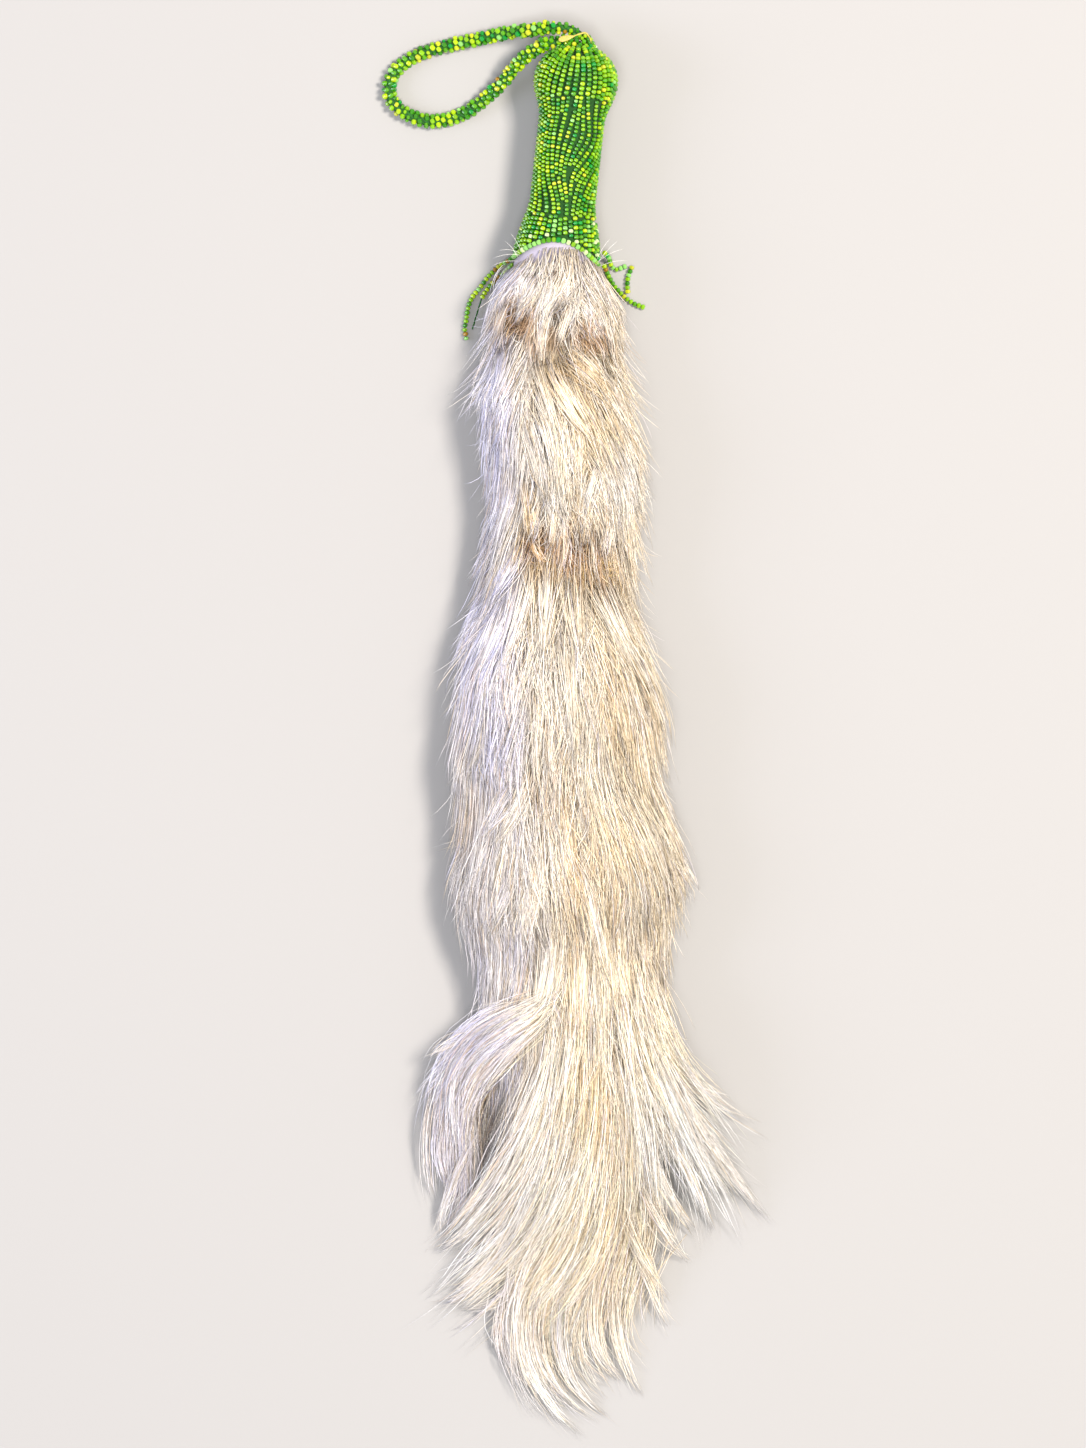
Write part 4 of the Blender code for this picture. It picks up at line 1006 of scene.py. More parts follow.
def ground_tint(x, reach):
    """The colour of the coat at a place without the differences between its hairs, painted light and shade
    too.
    """
    # Partly painted light: more lilac down the left for the cool fill's shade, more straw on the right for
    # the warm key, over the hair's own tints
    cool = smooth_step(-4 * MM, -38 * MM, x)[:, None]
    warm = smooth_step(-6 * MM, 30 * MM, x)[:, None]
    cream, lilac, straw = (np.array(linear(HAIR_TINTS[name])[:3]) for name in ("cream", "lilac", "straw"))
    tint = cream * (1 - 0.5 * cool - 0.4 * warm) + lilac * 0.5 * cool + straw * 0.4 * warm
    for place, patch_tint, strength in zip(PATCH_PLACES, PATCH_TINTS, PATCH_STRENGTHS):
        away = np.hypot((x - place[0]) / place[2], (reach - place[1]) / place[3])
        share = (strength * (1 - smooth_step(0.5, 1.15, away)))[:, None]
        tint = tint * (1 - share) + patch_tint * share
    return tint


# Under the long hair lies a matted undercoat of short wool, which shows in the creases and between the
# locks as a soft, matt ground, in the coat's own colours but darker: painted shade of the deep hair
# there. Its streaks are 0.9 mm wide and drawn out along the tail.
UNDERCOAT_POINTS = 56
UNDERCOAT_STEP = 4 * MM
UNDERCOAT_SHARE = 0.74
UNDERCOAT_PAINTED_SHADE = 0.60
WOOL_WIDTH = 0.9 * MM
WOOL_STRETCH = 0.07
under_wool = new_material("matted_undercoat_wool")
wool_tint = add_node(under_wool, "ShaderNodeVertexColor", layer_name="hair_tone")
wool_place = add_node(under_wool, "ShaderNodeTexCoord")
wool_comb = add_node(
    under_wool, "ShaderNodeMapping", {"Scale": (1.0, WOOL_STRETCH, 1.0)},
    {"Vector": wool_place.outputs["Object"]},
)
wool_streaks = add_node(
    under_wool, "ShaderNodeTexNoise", {"Scale": 1 / WOOL_WIDTH, "Detail": 4.0},
    {"Vector": wool_comb.outputs[0]},
)
wool_value = add_node(
    under_wool, "ShaderNodeMapRange", {"From Min": 0.3, "From Max": 0.7, "To Min": 0.62, "To Max": 1.1},
    {"Value": wool_streaks.outputs[0]},
)
wool_colour = add_node(
    under_wool, "ShaderNodeHueSaturation",
    links={"Color": wool_tint.outputs[0], "Value": wool_value.outputs[0]},
)
wool_bump = add_node(
    under_wool, "ShaderNodeBump", {"Strength": 0.8, "Distance": 0.0015}, {"Height": wool_streaks.outputs[0]},
)
wool_shader = add_node(
    under_wool, "ShaderNodeBsdfPrincipled", {"Roughness": 0.9, "Sheen Weight": 0.2},
    {"Base Color": wool_colour.outputs[0], "Normal": wool_bump.outputs[0]},
)
add_node(under_wool, "ShaderNodeOutputMaterial", links={"Surface": wool_shader.outputs[0]})

# The stretches of the tail, from reach to reach, in which it bends at its three hinges
CREASE = (9 * MM, 31 * MM)
DROOP = (112 * MM, 145 * MM)
CURL = (330 * MM, 370 * MM)


def bend_with(piece):
    """Bake a piece's place into its mesh."""
    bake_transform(piece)


def undercoat(name, first, last):
    """A closed length of undercoat between two reaches."""
    bm = bmesh.new()
    tone = bm.verts.layers.float_color.new("hair_tone")
    rings = []
    for reach in np.linspace(first, last, round((last - first) / UNDERCOAT_STEP)):
        ring = bmesh.ops.create_circle(bm, segments=UNDERCOAT_POINTS, radius=UNDERCOAT_SHARE)["verts"]
        for vert in ring:
            vert.co = Vector(in_body(reach, vert.co.x, vert.co.y))
            tint = ground_tint(np.array([vert.co.x]), np.array([reach]))[0]
            # Darkened with painted shade
            vert[tone] = (*(tint * UNDERCOAT_PAINTED_SHADE), 1)
        rings.append(list({edge for vert in ring for edge in vert.link_edges}))
    for near, far in zip(rings, rings[1:]):
        bmesh.ops.bridge_loops(bm, edges=near + far)
    bmesh.ops.holes_fill(bm, edges=rings[0] + rings[-1])
    bmesh.ops.recalc_face_normals(bm, faces=bm.faces)
    piece = mesh_piece(name, bm, under_wool, smooth_angle=60)
    return piece


under_neck = undercoat("undercoat_neck", -18 * MM, 80 * MM)
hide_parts("hood_fur", "crease_fur", "shoulder_fur")
bend_with(under_neck)
under_back = undercoat("undercoat_back", 79 * MM, 240 * MM)
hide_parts("upper_fur", "droop_fur", "middle_fur")
bend_with(under_back)
under_end = undercoat("undercoat_end", 239 * MM, 440 * MM)
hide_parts("belly_fur", "lower_fur", "waist_fur", "curl_fur", "tip_fur")
bend_with(under_end)


# The hair is coarse, pale and slightly waved, mostly 20 to 110 mm long. It is made strand by strand,
# each a tapering three-sided tube, because no modelling operator makes thousands of them. A real hair
# is 0.1 mm thick; these are up to 0.5 mm, as fine as the picture can show.
HAIR_POINTS = 7
HAIR_RADIUS = 0.24 * MM
HAIR_FLOOR = 0.05 * MM
HAIR_TAPER = np.array([0.8, 1.0, 1.0, 0.9, 0.7, 0.35])
HAIR_SIDES = 3


def strand_piece(name, lines, tones, thickness):
    """One piece of many strands, from each strand's points, the colours of these and a share of the
    usual radius."""
    count, points, _ = lines.shape
    along = np.gradient(lines, axis=1)
    along /= np.linalg.norm(along, axis=2, keepdims=True) + 1e-12
    across = np.cross(along, (0.0, 0.0, 1.0))
    across /= np.linalg.norm(across, axis=2, keepdims=True) + 1e-12
    up = np.cross(across, along)
    share = np.linspace(0, 1, points)[:-1]
    radii = HAIR_RADIUS * np.interp(share, np.linspace(0, 1, len(HAIR_TAPER)), HAIR_TAPER)
    radii = radii[None, :] * thickness[:, None]
    rings = []
    for corner in range(HAIR_SIDES):
        angle = 2 * math.pi * corner / HAIR_SIDES
        out = across[:, :-1] * math.cos(angle) + up[:, :-1] * math.sin(angle)
        rings.append(lines[:, :-1] + out * radii[:, :, None])
    # Each strand's corners run ring by ring from its root, and its tip comes last
    sides = np.stack(rings, axis=2).reshape(count, -1, 3)
    verts = np.concatenate([sides, lines[:, -1:]], axis=1)
    verts[:, :, 2] = np.maximum(verts[:, :, 2], HAIR_FLOOR)
    quads = []
    tips = [(2, 1, 0)]
    last = (points - 2) * HAIR_SIDES
    for corner in range(HAIR_SIDES):
        following = (corner + 1) % HAIR_SIDES
        for a in range(0, last, HAIR_SIDES):
            b = a + HAIR_SIDES
            quads.append((a + corner, a + following, b + following, b + corner))
        tips.append((last + corner, last + following, last + HAIR_SIDES))
    per_strand = last + HAIR_SIDES + 1
    offset = (np.arange(count) * per_strand)[:, None, None]
    quads = (np.array(quads)[None] + offset).reshape(-1, 4)
    tips = (np.array(tips)[None] + offset).reshape(-1, 3)
    mesh = bpy.data.meshes.new(name)
    mesh.vertices.add(count * per_strand)
    mesh.vertices.foreach_set("co", verts.ravel())
    mesh.loops.add(quads.size + tips.size)
    mesh.loops.foreach_set("vertex_index", np.concatenate([quads.ravel(), tips.ravel()]))
    mesh.polygons.add(len(quads) + len(tips))
    starts = np.concatenate([np.arange(len(quads)) * 4, quads.size + np.arange(len(tips)) * 3])
    mesh.polygons.foreach_set("loop_start", starts)
    mesh.update(calc_edges=True)
    tone = np.ones((count, per_strand, 4))
    tone[:, :-1, :3] = np.repeat(tones[:, :-1], HAIR_SIDES, axis=1)
    tone[:, -1, :3] = tones[:, -1]
    layer = mesh.attributes.new("hair_tone", "FLOAT_COLOR", "POINT")
    layer.data.foreach_set("color", tone.ravel())
    mesh.materials.append(goat_hair)
    mesh.shade_smooth()
    piece = link_new_object(name, mesh)
    return piece


# Goat hair: keratin, so a low, slightly rough gloss along each strand over a pale body colour
goat_hair = new_material("pale_goat_hair")
hair_tone = add_node(goat_hair, "ShaderNodeVertexColor", layer_name="hair_tone")
hair_shader = add_node(
    goat_hair, "ShaderNodeBsdfPrincipled",
    {"Roughness": 0.38, "IOR": 1.55, "Specular IOR Level": 0.45},
    {"Base Color": hair_tone.outputs[0]},
)
add_node(goat_hair, "ShaderNodeOutputMaterial", links={"Surface": hair_shader.outputs[0]})

# Which way the hair is combed, in degrees from straight down the tail, positive to the right. Rows go
# down the tail, columns from its left edge to its right one.
COMB_REACH = np.array([-20, 10, 40, 70, 100, 130, 160, 200, 240, 280, 320, 360, 400, 440, 480]) * MM
COMB_DEGREES = np.array([
    (-18, -12, -3, 8, 18), (-16, -12, -2, 12, 18), (-28, -18, 8, 24, 26), (-16, -6, 10, 18, 18),
    (-10, -4, 2, 8, 14), (-16, -10, -2, 4, 8), (-18, -12, -2, 8, 14), (-14, -9, -1, 6, 10),
    (-14, -8, 2, 8, 14), (-16, -8, 0, 10, 18), (-6, -2, 2, 4, 8), (-8, -4, 0, 6, 10),
    (-18, -14, -4, 6, 16), (-28, -24, -10, 4, 12), (-30, -22, -6, 4, 10),
], float)


def comb_angle(reach, across):
    """The comb's direction at places given by reach and by how far they lie across, from -1 to 1."""
    columns = np.stack([np.interp(reach, COMB_REACH, degrees) for degrees in COMB_DEGREES.T], axis=-1)
    last_column = COMB_DEGREES.shape[1] - 1
    column = (np.clip(across, -1, 1) + 1) / 2 * last_column
    left = np.minimum(last_column - 1, column.astype(int))
    share = column - left
    rows = np.arange(len(reach))
    return np.radians(columns[rows, left] * (1 - share) + columns[rows, left + 1] * share)


# The share of single hairs that have a tint of their own, over the ground tint of their place
STRAY_TINTS = {
    "white": 0.28, "cream": 0.10, "straw": 0.09, "lilac": 0.05, "gold": 0.03, "grey": 0.08, "tan": 0.03,
}
OWN_TINT_SHARE = 0.6
LOCK_TINT_SHARE = 0.4
# No hair is paler than this, so that the light leaves its colour in it
PALEST = 0.97


def hair_tones(chance, lines, locks, root, tint=None):
    """Colours along each strand: the coat's tint where its root half lies, its lock's and its own, from
    a root darkened with painted shade to a pale tip."""
    count, points, _ = lines.shape
    known = np.minimum(np.arange(points), points // 2)
    places = lines[:, known].reshape(-1, 3)
    tones = ground_tint(places[:, 0], -places[:, 1]).reshape(count, points, 3)
    if tint:
        lock_tint = np.array(linear(HAIR_TINTS[tint])[:3])
        tones = (1 - LOCK_TINT_SHARE) * tones + LOCK_TINT_SHARE * lock_tint
    draw = chance.random(count)
    low = 0.0
    for name, share in STRAY_TINTS.items():
        chosen = (draw >= low) & (draw < low + share)
        own = np.array(linear(HAIR_TINTS[name])[:3])
        tones[chosen] = (1 - OWN_TINT_SHARE) * tones[chosen] + OWN_TINT_SHARE * own
        low += share
    lock_value = chance.uniform(0.84, 1.06, locks.max() + 1)[locks]
    own_value = chance.uniform(0.66, 1.08, count)
    tones = np.minimum(PALEST, tones * (lock_value * own_value)[:, None, None])
    return tones * painted_root_shade(points, root)


def painted_root_shade(points, root):
    """Painted shade at the root: a darker value, warmer too, that fades by the middle."""
    root = np.asarray(root)[..., None]
    value = root + (1 - root) * smooth_step(0.0, 0.5, np.linspace(0, 1, points))
    return value[..., None] ** np.array([0.9, 1.0, 1.12])


# The coat is the tail's own hair, which grows out of the skin all round and falls in locks. They end
# in four overlapping tiers, like shingles, and the coat parts in a few hollows between them.
# Where the tiers end: reach at the left, middle and right
TIER_LINES = np.array([(14, 8, 22), (112, 108, 104), (240, 234, 226), (322, 330, 302)]) * MM
# The coat parts over these places and shows the wool below: across, reach, half width, half length
PARTINGS = np.array([
    (-23, 8, 10, 8), (1, 7, 4, 7), (17, 21, 8, 5), (-10, 118, 10, 13), (3, 127, 9, 7), (17, 121, 13, 15),
    (29, 129, 7, 9), (-32, 402, 8, 15),
]) * MM
HAIR_START = -16.8 * MM
HAIR_END = 425 * MM
COAT_LOCKS = 1150
STRANDS_PER_LOCK = 24
SHORTEST_LOCK = 14 * MM
# Below this sine of its turn a lock would grow out of the side that lies on the ground
UNDERSIDE = -0.35
MOVED_UP_SHARE = 0.6
# How near a tier's line a lock has to end to be drawn towards it, how many of these are, and how far
TIER_NEAR = 26 * MM
TIER_SHARE = 0.6
TIER_PULL = 0.8
# How raggedly the tiers end, how far from the line a tier's end still lies higher and the next tier's
# roots still lie deeper, and by how much, as levels
TIER_RAGGED = 6 * MM
TIER_END = 12 * MM
TIER_RISE = 0.07
TIER_ROOTS = 14 * MM
TIER_ROOTS_PAST = 8 * MM
TIER_DIP = 0.05
# Levels are shares of the body's half height and half width: where a lock's root and its end lie
ROOT_LEVELS = (0.70, 0.82)
END_LEVELS = (0.86, 1.02)
# The roots nearest the skirt lie higher than the rest, and the hair under the end fans deeper
SKIRT_ROOT_LEVEL = 0.90
SKIRT_ROOTS_END = 2 * MM
FAN_SINK = 0.16
FAN_COVER = (330 * MM, 360 * MM)
# How far a strand's root lies from its lock's, along the tail and across it
ROOT_SPREAD = 5 * MM
LOCK_SPREAD = 4.2 * MM
WAVE = 1.3 * MM
# How long a lock is for the reach of its root, and a strand for its lock, as shares
LOCK_LENGTHS = (0.7, 1.15)
STRAND_LENGTHS = (0.68, 1.08)
# How far the locks lean and bend from the comb and the strands from their lock, in degrees. A few
# strands go further astray.
LOCK_LEAN = 8
LOCK_BEND = 16
STRAND_LEAN = 5.0
ASTRAY_SHARE = 0.07
FURTHER_ASTRAY = 2.5
# How much closer together a lock's strands lie at its tip than at its root
LOCK_GATHER = 0.82
# Over a parting, how many of the strands that root in it are kept, and how many keep their length
KEPT_SHARE = 0.1
UNCUT_SHARE = 0.16
# The length of the hair by the reach of its root
COAT_LENGTHS = np.array([
    (-25, 26), (0, 32), (20, 48), (60, 64), (110, 72), (150, 90), (300, 92), (425, 72),
]) * MM


def in_parting(x, reach):
    """Whether each place lies where the coat parts."""
    inside = np.zeros(x.shape, dtype=bool)
    for place in PARTINGS:
        inside |= np.hypot((x - place[0]) / place[2], (reach - place[1]) / place[3]) < 1
    return inside


def nearest_line(reach, across):
    """The reach of the tier line that is nearest to each place."""
    lines = np.stack([np.interp(across, (-1, 0, 1), line) for line in TIER_LINES], axis=-1)
    index = np.abs(lines - reach[:, None]).argmin(axis=1)
    return lines[np.arange(len(reach)), index]


def coat(chance, lock_count, per_lock):
    """Locks of hair all over the body: every strand's line, tones, thickness and root."""
    # Turns go round the tail from its right edge over the top. Over half of the locks that would grow
    # out of the side that lies on the ground grow on the upper side, where they show.
    turn = chance.uniform(0, 2 * math.pi, lock_count)
    below = np.sin(turn) < UNDERSIDE
    turn[below & (chance.random(lock_count) < MOVED_UP_SHARE)] *= -1
    start = HAIR_START - RIM_ARCH * np.sin(turn) ** 2
    root = start + (HAIR_END - start) * np.linspace(0, 1, lock_count)
    across = np.cos(turn)
    length = np.interp(root, COAT_LENGTHS[:, 0], COAT_LENGTHS[:, 1])
    length = length * chance.uniform(*LOCK_LENGTHS, lock_count)

    # Most locks that would end near a tier's line end close to it, and lie higher there than the hair
    # that starts below it, so the tiers overlap like shingles.
    line = nearest_line(root + length, across) + chance.normal(0, TIER_RAGGED, lock_count)
    pull = np.abs(root + length - line) < TIER_NEAR
    pull &= chance.random(lock_count) < TIER_SHARE
    pulled = np.maximum(SHORTEST_LOCK, length + TIER_PULL * (line - root - length))
    length = np.where(pull, pulled, length)
    at_line = np.exp(-((root + length - line) / TIER_END) ** 2)
    after_line = np.exp(-((root - line - TIER_ROOTS_PAST) / TIER_ROOTS) ** 2)
    lean = comb_angle(root, across) + np.radians(chance.normal(0, LOCK_LEAN, lock_count))
    bend = np.radians(chance.normal(0, LOCK_BEND, lock_count))

    # A lock starts within the coat and rises to its outside, less so where the end fans lie over it
    low_share = chance.uniform(*ROOT_LEVELS, lock_count) - TIER_DIP * after_line
    low_share = np.where(root < SKIRT_ROOTS_END, np.maximum(low_share, SKIRT_ROOT_LEVEL), low_share)
    high_share = chance.uniform(*END_LEVELS, lock_count) + TIER_RISE * at_line
    high_share -= FAN_SINK * smooth_step(*FAN_COVER, root)
    wave = chance.normal(0, WAVE, lock_count)
    outward = chance.uniform(0.02, 0.26, lock_count) + 0.25 * smooth_step(270 * MM, 320 * MM, root)
    phase = chance.uniform(0, 2 * math.pi, lock_count)

    # Each strand goes its lock's way from a root of its own, a few of them well astray
    lock = np.repeat(np.arange(lock_count), per_lock)
    count = len(lock)
    share = np.linspace(0, 1, HAIR_POINTS)[None, :]
    own_root = root[lock] + chance.normal(0, ROOT_SPREAD, count)
    own_root = np.maximum(own_root, start[lock] + MM)
    _, half_width, _, _ = body_section(own_root)
    spread = chance.normal(0, LOCK_SPREAD, count) / half_width
    own_length = length[lock] * chance.uniform(*STRAND_LENGTHS, count)
    angle = lean[lock][:, None] + bend[lock][:, None] * (share - 0.3)
    astray = 1 + FURTHER_ASTRAY * (chance.random(count) < ASTRAY_SHARE)
    angle += np.radians(chance.normal(0, STRAND_LEAN, count) * astray)[:, None]
    own_wave = chance.normal(0, WAVE, count) * astray
    own_lift = chance.normal(0, 0.03, count)

    def strands(own_length):
        """Every strand at a length of its own, drawn together with its lock's to the tip."""
        step = own_length[:, None] / (HAIR_POINTS - 1)
        reach = own_root[:, None] + (np.cumsum(np.cos(angle), axis=1) - np.cos(angle[:, :1])) * step
        sideways = (np.cumsum(np.sin(angle), axis=1) - np.sin(angle[:, :1])) * step
        sideways += wave[lock][:, None] * np.sin(share * 7.0 + phase[lock][:, None]) * share
        sideways += own_wave[:, None] * share**2
        gather = 1 - LOCK_GATHER * share**1.3
        turn_now = turn[lock][:, None] + spread[:, None] * gather
        rise = 1 - (1 - share) ** 2
        height = low_share[lock][:, None] + (high_share - low_share)[lock][:, None] * rise
        height += own_lift[:, None] * share
        p = height * np.cos(turn_now) + sideways / half_width[:, None]
        q = height * np.sin(turn_now)
        size = np.hypot(p, q)
        wanted = height + outward[lock][:, None] * np.maximum(0, size - height)
        return in_body(reach, p * wanted / size, q * wanted / size)

    # Over a parting most strands are left out or cut short
    lines = strands(own_length)
    on_top = np.sin(turn[lock]) > 0.2
    parted = in_parting(lines[:, :, 0], -lines[:, :, 1]) & on_top[:, None]
    kept = ~parted[:, 0] | (chance.random(count) < KEPT_SHARE)
    first = np.where(parted.any(axis=1), parted.argmax(axis=1) / (HAIR_POINTS - 1), 1.0)
    first = np.clip(first + chance.uniform(-0.06, 0.14, count), 0.25, 1.0)
    own_length *= np.where(chance.random(count) < UNCUT_SHARE, 1.0, first)
    lines = strands(own_length)
    tones = hair_tones(chance, lines, lock, 0.62)
    thickness = chance.uniform(0.6, 1.2, count)
    return lines[kept], tones[kept], thickness[kept], own_root[kept]


# Bands of the coat, each a piece of its own: where its roots start and end, and the bend it crosses
COAT_BANDS = [
    ("neck_hair", -40, 31, "handle", "tail_upper", CREASE),
    ("shoulder_hair", 31, 75, "tail_upper", "tail_middle", DROOP),
    ("saddle_hair", 75, 125, "tail_upper", "tail_middle", DROOP),
    ("back_hair", 125, 185, "tail_upper", "tail_middle", DROOP),
    ("flank_hair", 185, 245, "tail_middle", "tail_tip", CURL),
    ("loin_hair", 245, 305, "tail_middle", "tail_tip", CURL),
    ("rump_hair", 305, 370, "tail_middle", "tail_tip", CURL),
    ("end_hair", 370, 480, "tail_middle", "tail_tip", CURL),
]


def lay_bands(bands, lines, tones, thickness, roots):
    """Make a piece of each band's strands, from the reach of their roots."""
    for name, first, last, upper, lower, bend in bands:
        chosen = (roots >= first * MM) & (roots < last * MM)
        piece = strand_piece(name, lines[chosen], tones[chosen], thickness[chosen])
        bend_with(piece)


lay_bands(COAT_BANDS, *coat(np.random.default_rng(5), COAT_LOCKS, STRANDS_PER_LOCK))


# Where the coat parts, short curly wool fills the hollow: tan, darkened to brown there by the painted
# shade of the partings, 6 to 13 mm long seen from above, in loose turns. It lies a little deeper than
# the coat and rises in small arches.
WOOL_STRANDS = 1700
WOOL_LENGTHS = (6 * MM, 13 * MM)
WOOL_LEAN = 45
WOOL_TURN = 110
WOOL_LEVEL = 0.76
PARTING_AREAS = PARTINGS[:, 2] * PARTINGS[:, 3]
WOOL_BANDS = [
    ("hood_wool", -40, 31, "handle", "tail_upper", CREASE),
    ("crease_wool", 31, 210, "tail_upper", "tail_middle", DROOP),
    ("hollow_wool", 210, 480, "tail_middle", "tail_tip", CURL),
]


def on_coat(x, reach, height):
    """World points on the coat's upper side, from places seen from above and shares of its height."""
    middle, half_width, centre, half_height = body_section(reach)
    p = (x - middle) / half_width
    outside = np.minimum(1, np.maximum(0, np.abs(p) - height))
    z = centre + half_height * np.sqrt(np.maximum(0, height**2 - p**2)) - 0.8 * centre * outside
    return np.stack([x, -reach, z], axis=-1)


def curly_wool(chance, count):
    """Strands of wool spread over the partings, more of them in the larger ones."""
    place = PARTINGS[chance.choice(len(PARTINGS), size=count, p=PARTING_AREAS / PARTING_AREAS.sum())]
    away = np.sqrt(chance.random(count)) * 1.1
    around = chance.uniform(0, 2 * math.pi, count)
    x = place[:, 0] + place[:, 2] * away * np.cos(around)
    reach = place[:, 1] + place[:, 3] * away * np.sin(around)
    share = np.linspace(0, 1, HAIR_POINTS)[None, :]
    angle = np.radians(chance.normal(0, WOOL_LEAN, count))[:, None]
    angle = angle + np.radians(chance.normal(0, WOOL_TURN, count))[:, None] * share
    step = chance.uniform(*WOOL_LENGTHS, count)[:, None] / (HAIR_POINTS - 1)
    x = x[:, None] + np.cumsum(np.sin(angle), axis=1) * step
    reach = reach[:, None] + np.cumsum(np.cos(angle), axis=1) * step
    lift = chance.uniform(0.02, 0.14, count)[:, None] * np.sin(math.pi * share)
    lines = on_coat(x, reach, WOOL_LEVEL + lift)
    middle = HAIR_POINTS // 2
    tones = ground_tint(x[:, middle], reach[:, middle]) * chance.uniform(0.6, 1.4, count)[:, None]
    tones = np.minimum(PALEST, tones)[:, None, :] * painted_root_shade(HAIR_POINTS, 0.7)
    return lines, tones, chance.uniform(0.5, 0.85, count), reach[:, 0]


lay_bands(WOOL_BANDS, *curly_wool(np.random.default_rng(6), WOOL_STRANDS))


# The locks that stand out one by one lie on top of the coat: over the hood, along its edges, and where
# a longer one crosses the others.
# Each row is the root, the bend and the tip, across and reach, then the width at the root, all in
# millimetres, the number of strands and the tint.
CHOSEN_LOCKS = [
    (-19, -16, -27, -8, -31, 9, 8, 60, "lilac"), (-7, -15, -15, -4, -22, 13, 9, 60, "white"),
    (1, -15, -5, -2, -10, 18, 9, 60, "cream"), (9, -15, 5, -7, -3, 6, 7, 44, "cream"),
    (5, -3, 16, 7, 30, 27, 6, 80, "lilac"), (16, -13, 22, 0, 29, 22, 8, 60, "cream"),
    (21, -6, 27, 10, 32, 32, 6, 44, "white"), (-6, 3, -8, 15, -9, 30, 8, 44, "cream"),
    (9, -2, 5, 9, 0, 24, 7, 36, "cream"), (-27, -2, -29, 11, -35, 25, 6, 44, "white"),
    (1, 25, 16, 37, 34, 57, 14, 70, "gold"), (-6, 27, 4, 50, 21, 75, 11, 80, "straw"),
    (-14, 25, -6, 50, 1, 75, 11, 50, "cream"), (-24, 22, -29, 42, -40, 65, 10, 70, "lilac"),
    (-29, 22, -36, 40, -46, 56, 8, 60, "white"), (-27, 40, -29, 60, -36, 80, 8, 60, "lilac"),
    (21, 35, 31, 52, 40, 75, 8, 60, "white"), (26, 25, 32, 37, 41, 52, 5, 34, "white"),
    (-11, 50, -4, 70, 2, 100, 10, 44, "cream"), (-19, 55, -12, 75, -6, 102, 8, 60, "cream"),
    (6, 60, 11, 75, 7, 100, 6, 40, "gold"), (27, 81, 36, 87, 48, 100, 4, 34, "white"),
    (27, 81, 35, 92, 45, 111, 4, 40, "white"), (26, 81, 31, 95, 37, 115, 4, 40, "white"),
    (24, 81, 25, 95, 28, 114, 5, 40, "white"), (21, 81, 17, 92, 12, 115, 5, 44, "white"),
    (30, 85, 39, 100, 47, 124, 2, 16, "white"), (-16, 85, -16, 102, -14, 120, 2.5, 34, "gold"),
    (16, 102, 25, 110, 21, 130, 4, 14, "cream"), (8, 102, 4, 115, 7, 128, 4, 14, "white"),
    (12, 98, 15, 112, 13, 124, 6, 36, "straw"), (-2, 96, -1, 112, -4, 126, 6, 36, "cream"),
    (27, 100, 27, 114, 25, 130, 5, 30, "white"), (-9, 98, -12, 110, -13, 121, 5, 30, "cream"),
    (18, 112, 17, 126, 19, 142, 4, 18, "gold"), (2, 110, 3, 124, 0, 140, 4, 18, "straw"),
    (-14, 117, -11, 126, -6, 132, 3, 16, "gold"), (-24, 77, -26, 100, -35, 122, 8, 60, "lilac"),
    (-26, 110, -34, 125, -44, 140, 7, 50, "grey"), (-19, 120, -26, 137, -39, 155, 9, 70, "lilac"),
    (-6, 128, -6, 150, -9, 180, 13, 44, "cream"), (6, 130, 8, 155, 13, 190, 13, 44, "straw"),
    (16, 132, 28, 160, 45, 195, 13, 44, "cream"), (24, 135, 34, 168, 48, 200, 9, 40, "straw"),
    (-14, 130, -21, 160, -34, 195, 12, 44, "cream"), (-24, 145, -34, 170, -46, 200, 9, 60, "white"),
    (-29, 136, -41, 160, -53, 185, 8, 60, "lilac"), (1, 160, 5, 190, 8, 230, 10, 40, "cream"),
    (-19, 170, -24, 200, -31, 232, 9, 60, "lilac"), (-29, 170, -39, 200, -51, 242, 8, 54, "white"),
    (-34, 200, -41, 225, -53, 245, 7, 50, "white"), (26, 180, 33, 210, 41, 245, 8, 50, "straw"),
    (41, 190, 48, 210, 55, 240, 6, 44, "cream"), (-6, 200, -4, 225, -1, 250, 4, 24, "tan"),
    (-14, 230, -21, 255, -39, 280, 7, 50, "cream"), (-14, 240, -29, 260, -57, 276, 3, 16, "white"),
    (-21, 235, -31, 255, -44, 280, 8, 50, "lilac"), (1, 245, 6, 275, 9, 315, 7, 50, "gold"),
    (16, 250, 31, 280, 46, 315, 9, 60, "straw"), (26, 245, 46, 275, 66, 300, 7, 50, "cream"),
    (41, 250, 58, 275, 69, 296, 5, 40, "white"), (-29, 260, -39, 285, -51, 315, 8, 50, "white"),
    (-9, 265, -11, 295, -19, 330, 8, 50, "cream"), (8, 270, 16, 300, 24, 340, 8, 50, "white"),
    (-19, 270, -29, 300, -44, 330, 8, 50, "grey"), (36, 275, 48, 305, 56, 340, 7, 50, "straw"),
    (1, 300, -1, 330, -6, 360, 8, 50, "cream"), (21, 300, 26, 330, 31, 365, 8, 50, "cream"),
    (-29, 300, -34, 320, -39, 350, 8, 50, "white"), (38, 315, 46, 340, 50, 372, 6, 44, "straw"),
    (-16, 300, -20, 330, -24, 362, 8, 44, "lilac"), (10, 308, 11, 342, 9, 380, 10, 60, "straw"),
    (30, 312, 35, 344, 44, 380, 10, 60, "cream"), (-4, 312, -7, 340, -15, 374, 9, 54, "cream"),
    (20, 318, 22, 350, 24, 390, 9, 54, "white"), (40, 305, 47, 330, 57, 358, 8, 50, "cream"),
]
LOCK_BANDS = [
    ("hood_locks", -40, 31, "handle", "tail_upper", CREASE),
    ("back_locks", 31, 185, "tail_upper", "tail_middle", DROOP),
    ("lower_locks", 185, 480, "tail_middle", "tail_tip", CURL),
]
